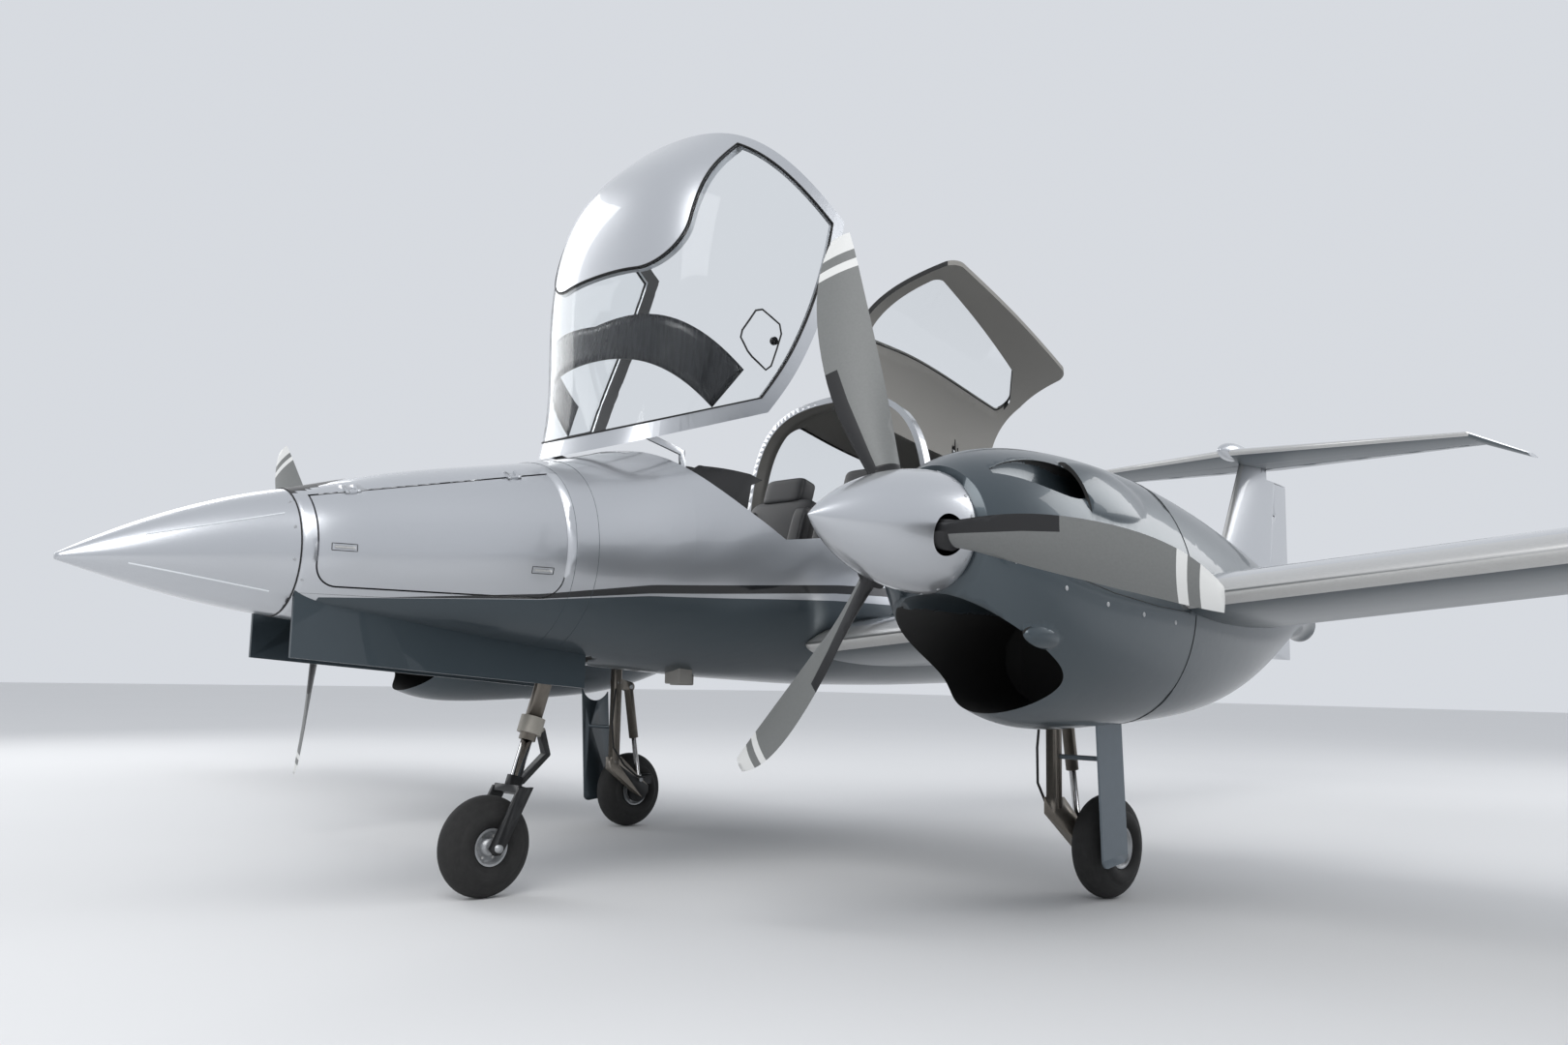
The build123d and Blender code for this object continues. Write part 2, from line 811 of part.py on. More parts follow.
for side, name in ((1, "left"), (-1, "right")):
    for control, (inner, outer) in controls.items():
        with BuildPart() as piece:
            add(wing_form.part)
            add(aft_slab(inner, outer), mode=Mode.INTERSECT)
            loft(sections=[hinge_circle(inner), hinge_circle(outer)])
            for x, outboard in ((inner, 1), (outer, -1)):
                add(hinge_pin(x, outboard, surface_pin_reach + 2, surface_pin_radius + seat_gap),
                    mode=Mode.SUBTRACT)
            if side < 0:
                mirror(about=Plane.YZ, mode=Mode.REPLACE)
        save(piece, f"{control}_{name}")
    with BuildPart() as wing:
        add(wing_form.part)
        add(winglet_form.part)
        for inner, outer in controls.values():
            add(aft_slab(inner, outer, grow=panel_gap), mode=Mode.SUBTRACT)
            loft(
                sections=[
                    hinge_circle(inner, -panel_gap, running_gap),
                    hinge_circle(outer, panel_gap, running_gap),
                ],
                mode=Mode.SUBTRACT,
            )
        for inner, outer in controls.values():
            for x, outboard in ((inner, 1), (outer, -1)):
                add(hinge_pin(x, outboard, surface_pin_reach, surface_pin_radius))
                add(hinge_pin(x, -outboard, panel_gap + 4, surface_pin_radius))
        if side < 0:
            mirror(about=Plane.YZ, mode=Mode.REPLACE)
    save(wing, f"wing_{name}")
    if side > 0:
        wing_left = wing
    else:
        wing_right = wing

# Nacelle sections: station, top, low, half width, height of the widest point
nacelle_sections = [
    (cowl_front, 1402, 1004, 198, 1203),
    (2100, 1500, 670, 300, 1100),
    (2450, 1512, 645, 312, 1060),
    (2900, 1470, 665, 300, 1040),
    (3500, 1340, 760, 235, 1040),
    (4300, 1135, 985, 70, 1060),
]

# Hump and sunk ramp of the air scoop on the outer shoulder: station, offset from the engine's
# centre, middle height, half length, half thickness
hump_rows = [
    (2195, 205, 1358, 108, 40),
    (2420, 207, 1358, 112, 44),
    (2640, 190, 1330, 70, 30),
]
ramp_rows = [
    (1850, 150, 1382, 10, 8),
    (2000, 180, 1390, 60, 36),
    (2195, 194, 1352, 96, 42),
    (2420, 194, 1352, 92, 38),
]


def shoulder_oval(station, offset, middle, half_length, half_thick):
    """Leaning oval on the outer shoulder of the left nacelle."""
    with BuildSketch(cross_plane(station, engine_x)) as section:
        with Locations((offset, middle)):
            Ellipse(half_length, half_thick, rotation=scoop_lean)
    return section.sketch


with BuildPart() as nacelle_form:
    loft(sections=[oval(*row, x=engine_x) for row in nacelle_sections])
    loft(sections=[shoulder_oval(*row) for row in hump_rows])
    loft(sections=[shoulder_oval(*row) for row in ramp_rows], mode=Mode.SUBTRACT)

# The lower lip of the chin intake is raked back
with BuildPart() as lip_rake:
    with BuildSketch(side_plane):
        with BuildLine():
            Polyline((1600, lip_top[1]), lip_top, lip_low, (lip_low[0], 500), (1600, 500), close=True)
        make_face()
    extrude(amount=engine_x + half_room)

with BuildPart() as mouth:
    with BuildSketch(cross_plane(mouth_depth, engine_x)):
        with Locations((0, mouth_height)):
            Ellipse(mouth_half_width, mouth_half_height)
    extrude(amount=mouth_depth - 1600)

with BuildPart() as engine_bay:
    add(
        station_box(
            engine_front - 20,
            engine_front + engine_size[1] + 20,
            engine_base,
            engine_base + engine_size[2] + 15,
            half=engine_size[0] / 2 + 15,
            x=engine_x,
        )
    )

with BuildPart() as cowl_left:
    add(nacelle_form.part)
    add(station_box(cowl_front, cowl_seam, 500, 1700, half=400, x=engine_x), mode=Mode.INTERSECT)
    blister = scale(Sphere(1, mode=Mode.PRIVATE), by=blister_size, mode=Mode.PRIVATE)
    add(Pos(engine_x + blister_place[0], at(blister_place[1]), blister_place[2]) * blister)
    add(mouth.part, mode=Mode.SUBTRACT)
    add(lip_rake.part, mode=Mode.SUBTRACT)
    add(engine_bay.part, mode=Mode.SUBTRACT)
    add(wing_left.part, mode=Mode.SUBTRACT)
save(cowl_left, "cowl_left")

with BuildPart() as nacelle_left:
    add(nacelle_form.part)
    add(station_box(cowl_seam, 4400, 500, 1700, half=400, x=engine_x), mode=Mode.INTERSECT)
    add(wing_left.part, mode=Mode.SUBTRACT)
save(nacelle_left, "nacelle_left")

with BuildPart() as engine_left:
    add(
        station_box(
            engine_front,
            engine_front + engine_size[1],
            engine_base,
            engine_base + engine_size[2],
            half=engine_size[0] / 2,
            x=engine_x,
        )
    )
save(engine_left, "engine_left")

with BuildPart() as nacelle_right:
    mirror(nacelle_left.part, about=Plane.YZ)
save(nacelle_right, "nacelle_right")

for original, name in ((cowl_left, "cowl"), (engine_left, "engine")):
    with BuildPart() as piece:
        mirror(original.part, about=Plane.YZ)
    save(piece, f"{name}_right")

# Propellers: radius, chord, thickness, pitch in degrees, backward sweep of the blade's middle
blade_sections = [
    (hub_radius - 5, 78, 60, 60, 0),
    (230, 112, 42, 46, -8),
    (420, 158, 26, 34, -14),
    (640, 168, 17, 26, -4),
    (820, 140, 12, 21, 22),
    (propeller_radius, 62, 8, 18, 66),
]


def blade_section(radius, chord, thick, pitch, back):
    """Lens-shaped blade section at a radius, for a blade that points up."""
    turn = radians(pitch)
    toward_edge = (-cos(turn), -sin(turn), 0)
    plane = Plane(origin=(0, 0, radius), x_dir=toward_edge, z_dir=(0, 0, 1))
    with BuildSketch(plane) as section:
        with BuildLine():
            ThreePointArc((chord / 2 - back, 0), (chord * 0.1 - back, thick * 0.6), (-chord / 2 - back, 0))
            ThreePointArc((-chord / 2 - back, 0), (chord * 0.1 - back, -thick * 0.4), (chord / 2 - back, 0))
        make_face()
    return section.sketch


with BuildPart() as blade:
    loft(sections=[blade_section(*row) for row in blade_sections])
    with BuildSketch(Plane.XY.offset(30)):
        Circle(blade_root_radius)
    extrude(amount=150)



def spinner_profile(inset=0):
    """Half profile of the spinner about its axis: a bulged cone that ends square at the back."""
    tip = (spinner_front - blade_station + 2.5 * inset, 0)
    rear = (spinner_rear - blade_station - inset, spinner_radius - inset)
    middle = (tip[0] + 0.42 * (rear[0] - tip[0]), 0.68 * rear[1])
    with BuildSketch(Plane.YZ) as profile:
        with BuildLine():
            ThreePointArc(tip, middle, rear)
            Polyline(rear, (rear[0], 0), tip)
        make_face()
    return profile.sketch


with BuildPart() as spinner_form:
    revolve(spinner_profile(), axis=Axis.Y)
    revolve(spinner_profile(spinner_wall), axis=Axis.Y, mode=Mode.SUBTRACT)

for side, name, angle in ((1, "left", blade_angle_left), (-1, "right", blade_angle_right)):
    hub = Location((side * engine_x, at(blade_station), thrust_height))
    with BuildPart() as propeller:
        with Locations(hub):
            Cylinder(hub_radius, hub_length, rotation=(-90, 0, 0),
                     align=(Align.CENTER, Align.CENTER, Align.CENTER))
            for turn in range(3):
                add(blade.part.rotate(Axis.Y, angle + 120 * turn))
    save(propeller, f"propeller_{name}")
    with BuildPart() as spinner:
        with Locations(hub):
            add(spinner_form.part)
            for turn in range(3):
                hole = Plane.XY.rotated((0, angle + 120 * turn, 0))
                with Locations(hole.offset(150)):
                    Cylinder(blade_root_radius + 16, 160, mode=Mode.SUBTRACT)
    save(spinner, f"spinner_{name}")
    with BuildPart() as shaft:
        with Locations((side * engine_x, at((spinner_rear + cowl_front) / 2), thrust_height)):
            Cylinder(shaft_radius, cowl_front - spinner_rear - 2 * seat_gap, rotation=(90, 0, 0))
    save(shaft, f"propeller_shaft_{name}")

# Fuselage: its skin round the hollow lengths, and solid floors and bulkheads
under_fuselage = 500
over_fuselage = over_roof + 100


def fuselage_piece(front, rear, low, high, inside=None):
    """Part of the fuselage between stations and heights, less the openings and the form inside it."""
    with BuildPart() as region:
        add(station_box(front, rear, low, high))
        for room in (canopy_room, door_room, rear_light_room, hatch_room):
            add(room.part, mode=Mode.SUBTRACT)
    with BuildPart() as piece:
        add(outer_form.part)
        add(region.part, mode=Mode.INTERSECT)
        if inside:
            add(inside.part, mode=Mode.SUBTRACT)
    return piece.part


with BuildPart() as nose_section:
    for row in (
        (radome_seam, hatch_bay_front, under_fuselage, over_fuselage),
        (hatch_bay_front, hatch_bay_rear, under_fuselage, nose_floor_height),
        (hatch_bay_front, hatch_bay_rear, nose_floor_height, over_fuselage, inner_form),
        (hatch_bay_rear, cabin_front, under_fuselage, over_fuselage),
        (cabin_front, section_seam, under_fuselage, floor_height),
        (cabin_front, section_seam, floor_height, over_fuselage, inner_form),
    ):
        add(fuselage_piece(*row))
    add(station_box(gear_bay_front, gear_bay_rear, 600, gear_bay_height, half=gear_bay_half), mode=Mode.SUBTRACT)
    add(nose_knuckle_room.part, mode=Mode.SUBTRACT)
    add(canopy_swing.part, mode=Mode.SUBTRACT)
    add(knuckle_pins.part)
    add(canopy_ears.part)
save(nose_section, "nose_section")

# Roll-over hoop under the rear edge of the canopy: it is seated on the right side and at its feet
hoop_front = hoop_station - hoop_width
hoop_rear = hoop_station + pin_gap

with BuildPart() as hoop:
    add(hoop_form.part)
    add(station_box(hoop_front, hoop_rear, hoop_low, over_roof), mode=Mode.INTERSECT)
    add(hoop_room_form.part, mode=Mode.SUBTRACT)

with BuildPart() as hoop_seat:
    add(hoop_seat_form.part)
    with BuildPart(mode=Mode.INTERSECT):
        add(station_box(hoop_front, hoop_rear, hoop_low, door_front_low - 2 * panel_gap))
        add(station_box(hoop_rear, hoop_rear + skin, hoop_low, over_roof,
                        x=roof_edge_x - skin - half_room))
    add(hoop_room_form.part, mode=Mode.SUBTRACT)

with BuildPart() as cabin_section:
    for row in (
        (section_seam, wing_box_rear, under_fuselage, floor_height),
        (wing_box_rear, rear_bulkhead, floor_height - floor_thick, floor_height),
        (wing_box_rear, rear_bulkhead, under_fuselage, floor_height - floor_thick, inner_form),
        (section_seam, rear_bulkhead, floor_height, over_fuselage, inner_form),
        (rear_bulkhead, rear_bulkhead + bulkhead_thick, under_fuselage, over_fuselage),
        (rear_bulkhead + bulkhead_thick, cabin_end, under_fuselage, over_fuselage, inner_form),
    ):
        add(fuselage_piece(*row))
    add(wing_left.part, mode=Mode.SUBTRACT)
    add(wing_right.part, mode=Mode.SUBTRACT)
    add(door_ears.part)
    add(hoop.part)
    add(hoop_seat.part)
save(cabin_section, "cabin_section")


# Tail
def rudder_hinge_at(height):
    """Station of the rudder hinge line, which leans back."""
    return rudder_hinge_base[0] + (height - rudder_hinge_base[1]) * rudder_hinge_slope


def level_plane(station, height):
    """Level plane: its local x points aft and its local y points to the right wing."""
    return Plane(origin=(0, at(station), height), x_dir=(0, 1, 0), z_dir=(0, 0, 1))


def rudder_point(height):
    """Point of the rudder hinge line."""
    return (0, at(rudder_hinge_at(height)), height)


rudder_way = (0, rudder_hinge_slope, 1)

# Rudder: height, nose radius
rudder_rows = [
    (rudder_low_height, rudder_nose_low),
    (rudder_mid_height, rudder_nose_mid),
    (rudder_top_height, rudder_nose_top),
]

with BuildPart() as rudder:
    loft(
        sections=[
            teardrop(level_plane(rudder_hinge_at(height), height), nose, rudder_end - rudder_hinge_at(height))
            for height, nose in rudder_rows
        ],
        ruled=True,
    )
    for height in rudder_lug_heights:
        add(rod(rudder_point(height), rudder_way, lug_thick + 2 * pin_gap, rudder_nose_mid + 2), mode=Mode.SUBTRACT)
        add(rod(rudder_point(height), rudder_way, lug_thick + 4 * pin_gap, hinge_pin_radius))
save(rudder, "rudder")

with BuildPart() as rudder_lugs:
    for height in rudder_lug_heights:
        with BuildSketch(Plane(origin=rudder_point(height), x_dir=(1, 0, 0), z_dir=rudder_way)):
            Circle(hinge_end_radius)
            Rectangle(2 * hinge_end_radius, rudder_nose_mid + running_gap + 20, align=(Align.CENTER, Align.MAX))
            Circle(hinge_pin_radius + seat_gap, mode=Mode.SUBTRACT)
        extrude(amount=lug_thick / 2, both=True)


def cove_circle(height, nose):
    """Circle of the rudder cove in fin and tail boom."""
    with BuildSketch(level_plane(rudder_hinge_at(height), height)) as circle:
        Circle(nose + running_gap)
    return circle.sketch


with BuildPart() as rudder_room:
    with BuildSketch(side_plane):
        with BuildLine():
            Polyline(
                (rudder_hinge_at(900), 900),
                (8600, 900),
                (8600, rudder_top_height + panel_gap),
                (rudder_hinge_at(rudder_top_height), rudder_top_height + panel_gap),
                close=True,
            )
        make_face()
    extrude(amount=300, both=True)
    loft(
        sections=[
            cove_circle(900, rudder_nose_low),
            cove_circle(rudder_mid_height, rudder_nose_mid),
            cove_circle(rudder_top_height + panel_gap, rudder_nose_top),
        ],
        ruled=True,
    )

with BuildPart() as tail_boom:
    add(fuselage_piece(cabin_end, tail_hollow_end, under_fuselage, over_fuselage, thin_wall_form))
    add(fuselage_piece(tail_hollow_end, length, under_fuselage, over_fuselage))
    add(rudder_room.part, mode=Mode.SUBTRACT)
    add(rudder_lugs.part.solids().sort_by(Axis.Z)[0])
save(tail_boom, "tail_boom")


# Tailplane: distance from the centre, front station, chord, height
tail_rows = [
    (0, tail_front, tail_chord, tail_height),
    (tail_kink_x, tail_front + tail_kink_back, tail_kink_chord, tail_height),
    (tail_span / 2, length - tail_tip_chord, tail_tip_chord, tail_height - 35),
]

with BuildPart() as tail_form:
    for inner, outer in ((0, 1), (1, 2)):
        loft(
            sections=[
                airfoil(rib_plane(x, front, height), chord, tail_rise, tail_rise)
                for x, front, chord, height in (tail_rows[inner], tail_rows[outer])
            ]
        )
    mirror(about=Plane.YZ)


def elevator_nose(x, grow=0):
    """Circle about the elevator hinge, as large as the tailplane is thick there."""
    share = abs(x) / tail_kink_x
    front = tail_front + tail_kink_back * share
    chord = tail_chord + (tail_kink_chord - tail_chord) * share
    fall = 1 - (((elevator_hinge - front) / chord - crest_share) / (1 - crest_share)) ** 2
    with BuildSketch(rib_plane(x, elevator_hinge, tail_height)) as circle:
        Circle(tail_rise * chord * fall + grow)
    return circle.sketch


with BuildPart() as elevator:
    add(tail_form.part)
    add(station_box(elevator_hinge, 8560, 2300, 2550, half=elevator_half_span), mode=Mode.INTERSECT)
    for x in (-elevator_half_span, elevator_half_span):
        loft(sections=[elevator_nose(0), elevator_nose(x)])
        end = (x, at(elevator_hinge), tail_height)
        add(rod(end, (1, 0, 0), 2 * surface_pin_reach + 4, hinge_pin_radius + seat_gap), mode=Mode.SUBTRACT)
save(elevator, "elevator")

elevator_room_half = elevator_half_span + panel_gap

with BuildPart() as elevator_room:
    add(station_box(elevator_hinge, 8570, 2300, 2550, half=elevator_room_half))
    for x in (-elevator_room_half, elevator_room_half):
        loft(sections=[elevator_nose(0, running_gap), elevator_nose(x, running_gap)])

with BuildPart() as fin:
    loft(
        sections=[
            airfoil(level_plane(front, height), rudder_end - front, fin_rise, fin_rise)
            for front, height in ((fin_base_front, fin_base_height), (fin_top_front, fin_top_height))
        ]
    )
    add(rudder_room.part, mode=Mode.SUBTRACT)
    add(elevator_room.part, mode=Mode.SUBTRACT)
    add(outer_form.part, mode=Mode.SUBTRACT)
    add(rudder_lugs.part.solids().sort_by(Axis.Z)[-1])
save(fin, "fin")

with BuildPart() as tailplane:
    add(tail_form.part)
    add(elevator_room.part, mode=Mode.SUBTRACT)
    add(fin.part, mode=Mode.SUBTRACT)
    for side in (-1, 1):
        end = (side * elevator_half_span, at(elevator_hinge), tail_height)
        add(rod(end, (1, 0, 0), 2 * surface_pin_reach, hinge_pin_radius))
save(tailplane, "tailplane")

# Bullet fairing over the joint of fin and tailplane: station, top, low, half width, widest height
bullet_sections = [
    (7212, 2442, 2422, 12, 2432),
    (7300, 2488, 2385, 52, 2435),
    (7480, 2505, 2380, 72, 2435),
    (7780, 2470, 2390, 42, 2430),
]

with BuildPart() as tail_fairing:
    loft(sections=[oval(*row) for row in bullet_sections])
    add(tailplane.part, mode=Mode.SUBTRACT)
    add(fin.part, mode=Mode.SUBTRACT)
save(tail_fairing, "tail_fairing")

with BuildPart() as ventral_fin:
    with BuildSketch(side_plane):
        with BuildLine():
            Polyline(
                (ventral_front, 1100),
                ventral_low,
                ventral_rear,
                (rudder_hinge_at(1100) - 60, 1150),
                close=True,
            )
        make_face()
        with Locations(tie_down_hole):
            Circle(tie_down_radius, mode=Mode.SUBTRACT)
    extrude(amount=ventral_thick / 2, both=True)
    add(outer_form.part, mode=Mode.SUBTRACT)
    add(rudder_room.part, mode=Mode.SUBTRACT)
save(ventral_fin, "ventral_fin")


# Wheels
def tyre(x, station, radius, width, rim_radius):
    """Tyre standing on the ground: a crowned tread, round shoulders and a bore for the rim."""
    with BuildPart() as ring:
        with BuildSketch(Plane(origin=(x, at(station), radius), x_dir=(1, 0, 0), z_dir=(0, -1, 0))):
            with BuildLine():
                half = width / 2
                shoulder = radius - half * 0.75
                ThreePointArc((-half * 0.86, shoulder), (0, radius), (half * 0.86, shoulder))
                ThreePointArc((half * 0.86, shoulder), (half, (shoulder + rim_radius) / 2),
                              (half * 0.72, rim_radius + seat_gap))
                Line((half * 0.72, rim_radius + seat_gap), (-half * 0.72, rim_radius + seat_gap))
                ThreePointArc((-half * 0.72, rim_radius + seat_gap), (-half, (shoulder + rim_radius) / 2),
                              (-half * 0.86, shoulder))
            make_face()
        revolve(axis=Axis((x, at(station), radius), (1, 0, 0)))
    return ring


def rim(x, station, height, rim_radius, width):
    """Wheel: a drum with flanges, dished on both sides, bored for the axle."""
    with BuildPart() as wheel:
        with Locations((x, at(station), height)):
            Cylinder(rim_radius, width, rotation=(0, 90, 0))
            Cylinder(axle_radius + seat_gap, width + 10, rotation=(0, 90, 0), mode=Mode.SUBTRACT)
        for side in (-1, 1):
            with Locations((x + side * (width / 2 - rim_dish / 2), at(station), height)):
                Cylinder(rim_radius - 9, rim_dish, rotation=(0, 90, 0), mode=Mode.SUBTRACT)
                Cylinder(axle_radius + 16, rim_dish, rotation=(0, 90, 0))
                Cylinder(axle_radius + seat_gap, 2 * rim_dish, rotation=(0, 90, 0), mode=Mode.SUBTRACT)
    return wheel


save(tyre(0, nose_wheel_station, nose_tyre_radius, nose_tyre_width, nose_rim_radius), "nose_tyre")
save(rim(0, nose_wheel_station, nose_tyre_radius, nose_rim_radius, nose_rim_width), "nose_wheel")

# Nose leg: it leans, and fork, piston and collar turn about its centre line
lean = atan2(steer_top[0] - steer_low[0], steer_top[1] - steer_low[1])
steer_axis_dir = (0, sin(lean), cos(lean))


def steer_point(height):
    """Station of the steering axis at a height."""
    return steer_low[0] + (height - steer_low[1]) * tan(lean)


def steer_plane(height):
    """Plane square to the steering axis at a height."""
    return Plane(origin=(0, at(steer_point(height)), height), x_dir=(1, 0, 0), z_dir=steer_axis_dir)


with BuildPart() as nose_leg:
    with BuildSketch(steer_plane(nose_leg_low)):
        Circle(nose_leg_radius)
        Circle(nose_piston_radius + seat_gap, mode=Mode.SUBTRACT)
    extrude(amount=(nose_beam_low - nose_leg_low) / cos(lean) + nose_beam_size[1])
    with BuildSketch(steer_plane(nose_beam_low)):
        Rectangle(2 * gear_bay_half, nose_beam_size[0])
        Circle(nose_piston_radius + seat_gap, mode=Mode.SUBTRACT)
    extrude(amount=nose_beam_size[1])
save(nose_leg, "nose_leg")

with BuildPart() as nose_fork:
    with BuildSketch(steer_plane(fork_crown_height - 10)):
        Circle(nose_piston_radius)
    extrude(amount=330)
    with BuildSketch(steer_plane(fork_crown_height)):
        RectangleRounded(2 * (fork_gap + fork_thick), 56, 18)
    extrude(amount=-26)
    with BuildSketch(steer_plane(fork_crown_height)):
        Circle(nose_leg_radius)
    extrude(amount=36)
    with BuildSketch(steer_plane(collar_low)):
        Circle(nose_leg_radius + collar_gap + collar_thick)
        Circle(nose_leg_radius + collar_gap, mode=Mode.SUBTRACT)
    extrude(amount=collar_length)
    knee = (steer_point(torque_knee[1]) + torque_knee[0], torque_knee[1])
    collar_end = (steer_point(collar_low + 24) + nose_leg_radius + collar_thick, collar_low + 12)
    crown_end = (steer_point(fork_crown_height) + nose_leg_radius, fork_crown_height + 16)
    for start in (collar_end, crown_end):
        add(link(rib_plane(0, 0, 0), start, knee, torque_link_radius, torque_link_width))
    for side in (-1, 1):
        with BuildSketch(Plane.YZ.offset(side * (fork_gap + fork_thick / 2))):
            with BuildLine():
                Polyline(
                    (at(steer_point(fork_crown_height)) - 30, fork_crown_height),
                    (at(steer_point(fork_crown_height)) + 28, fork_crown_height),
                    (at(nose_wheel_station) + 30, nose_tyre_radius),
                    (at(nose_wheel_station) + 12, nose_tyre_radius - 24),
                    (at(nose_wheel_station) - 12, nose_tyre_radius - 24),
                    (at(nose_wheel_station) - 30, nose_tyre_radius),
                    close=True,
                )
            make_face()
        extrude(amount=fork_thick / 2, both=True)
    with Locations((0, at(nose_wheel_station), nose_tyre_radius)):
        Cylinder(axle_radius, 2 * (fork_gap + fork_thick) + 24, rotation=(0, 90, 0))
save(nose_fork, "nose_fork")

# Nose gear doors, hanging open along the bay
for side, name in ((1, "left"), (-1, "right")):
    with BuildPart() as piece:
        with BuildSketch(Plane.YZ.offset(side * (gear_bay_half + 10))):
            with BuildLine():
                Polyline(
                    (at(nose_door_front), nose_door_top),
                    (at(nose_door_front), 820),
                    (at(nose_door_rear), 737),
                    (at(nose_door_rear), nose_door_top),
                    close=True,
                )
            make_face()
        extrude(amount=side * 12)
        add(outer_form.part, mode=Mode.SUBTRACT)
    save(piece, f"nose_gear_door_{name}")

# Main gear
for side, name in ((1, "left"), (-1, "right")):
    save(
        tyre(side * main_x, main_wheel_station, main_tyre_radius, main_tyre_width, main_rim_radius),
        f"main_tyre_{name}",
    )
    save(
        rim(side * main_x, main_wheel_station, main_tyre_radius, main_rim_radius, main_rim_width),
        f"main_wheel_{name}",
    )
    arm_x = side * (main_x - main_tyre_width / 2 - 12 - trailing_arm_width / 2)
    with BuildPart() as main_leg:
        with Locations((arm_x, at(main_leg_station), (main_leg_low + main_leg_top) / 2)):
            Cylinder(main_leg_radius, main_leg_top - main_leg_low)
        with BuildSketch(Plane.YZ.offset(arm_x)):
            with BuildLine():
                Polyline(
                    (at(main_leg_station) - 34, main_leg_low + 40),
                    (at(main_leg_station) - 34, main_leg_low - 20),
                    (at(main_wheel_station) - 10, main_tyre_radius - 34),
                    (at(main_wheel_station) + 30, main_tyre_radius - 10),
                    (at(main_wheel_station) + 30, main_tyre_radius + 25),
                    (at(main_leg_station) + 34, main_leg_low + 40),
                    close=True,
                )
            make_face()
        extrude(amount=trailing_arm_width / 2, both=True)
        shock_run = (shock_low[0] - shock_top[0], shock_low[1] - shock_top[1])
        shock_length = sqrt(shock_run[0] ** 2 + shock_run[1] ** 2)
        for share, radius in ((shock_sleeve_share, shock_radius), (1, shock_rod_radius)):
            middle = (arm_x, at(shock_top[0]) + share / 2 * shock_run[0], shock_top[1] + share / 2 * shock_run[1])
            add(rod(middle, (0, *shock_run), share * shock_length, radius))
        add(link(rib_plane(arm_x, 0, 0), (main_leg_station, shock_top[1] + 20), shock_top,
                 shock_radius, trailing_arm_width))
        brake_start = arm_x + side * trailing_arm_width / 2
        brake_end = side * (main_x - main_rim_width / 2 - running_gap)
        with Locations(((brake_start + brake_end) / 2, at(main_wheel_station), main_tyre_radius)):
            Cylinder(brake_radius, abs(brake_end - brake_start), rotation=(0, 90, 0))
        with Locations((arm_x, at(main_wheel_station) + 20, main_tyre_radius + 60)):
            Box(*calliper_size)
        axle_inner = arm_x
        axle_outer = side * (main_x + main_rim_width / 2 + 12)
        with Locations(((axle_inner + axle_outer) / 2, at(main_wheel_station), main_tyre_radius)):
            Cylinder(axle_radius, abs(axle_outer - axle_inner), rotation=(0, 90, 0))
        add((nacelle_left if side > 0 else nacelle_right).part, mode=Mode.SUBTRACT)
        add((wing_left if side > 0 else wing_right).part, mode=Mode.SUBTRACT)
    save(main_leg, f"main_leg_{name}")
    door_x = side * (main_x + main_tyre_width / 2 + 25)
    rod_from = arm_x + side * (main_leg_radius + seat_gap)
    with BuildPart() as piece:
        with BuildSketch(Plane.YZ.offset(door_x)):
            with BuildLine():
                front_top = (at(main_leg_station) - 60, 720)
                rear_top = (at(main_leg_station) + 110, 700)
                ThreePointArc(front_top, (at(main_leg_station) + 45, 655), rear_top)
                FilletPolyline(rear_top, (at(main_leg_station) + 150, 150), (at(main_leg_station) - 20, 130),
                               front_top, radius=30)
            make_face()
        extrude(amount=side * 8)
        with Locations(((rod_from + door_x) / 2, at(main_leg_station), 520)):
            Cylinder(9, abs(door_x - rod_from), rotation=(0, 90, 0))
        add((nacelle_left if side > 0 else nacelle_right).part, mode=Mode.SUBTRACT)
    save(piece, f"main_gear_door_{name}")

# Cabin
with BuildPart() as instrument_panel:
    with BuildSketch(side_plane):
        with BuildLine():
            Line((1700, 1150), (1700, 1480))
            ThreePointArc((1700, 1480), (2050, 1600), (2360, 1560))
            Polyline((2360, 1560), (2300, 1530), (2240, 1200), (2160, 1150), (1700, 1150))
        make_face()
    extrude(amount=440, both=True)
    add(station_box(1500, 2500, 1000, 1800, half=600), mode=Mode.INTERSECT)
    add(inner_form.part, mode=Mode.INTERSECT)
    for side in (-1, 1):
        slot_half = ear_offset + hinge_ear_thick / 2 + running_gap
        add(station_box(1690, panel_slot_end, 1340, 1800, half=slot_half, x=side * canopy_arm_x),
            mode=Mode.SUBTRACT)
save(instrument_panel, "instrument_panel")


def seat(x, station, width, name):
    """Seat: a cushion block on the floor and a reclined back with a head rest."""
    with BuildPart() as chair:
        with BuildSketch(rib_plane(x, station, floor_height)):
            with BuildLine():
                FilletPolyline((0, 0), (0, 190), (430, 150), (620, 690), (720, 690), (590, 40), (560, 0),
                               radius=18, close=True)
            make_face()
        extrude(amount=width / 2, both=True)
    save(chair, name)


seat(255, 2560, 440, "seat_front_left")
seat(-255, 2560, 440, "seat_front_right")
seat(0, 3520, 800, "seat_rear")
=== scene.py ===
import json
import math

import bmesh
import bpy
import numpy as np
from mathutils import Matrix, Vector
from mathutils.bvhtree import BVHTree

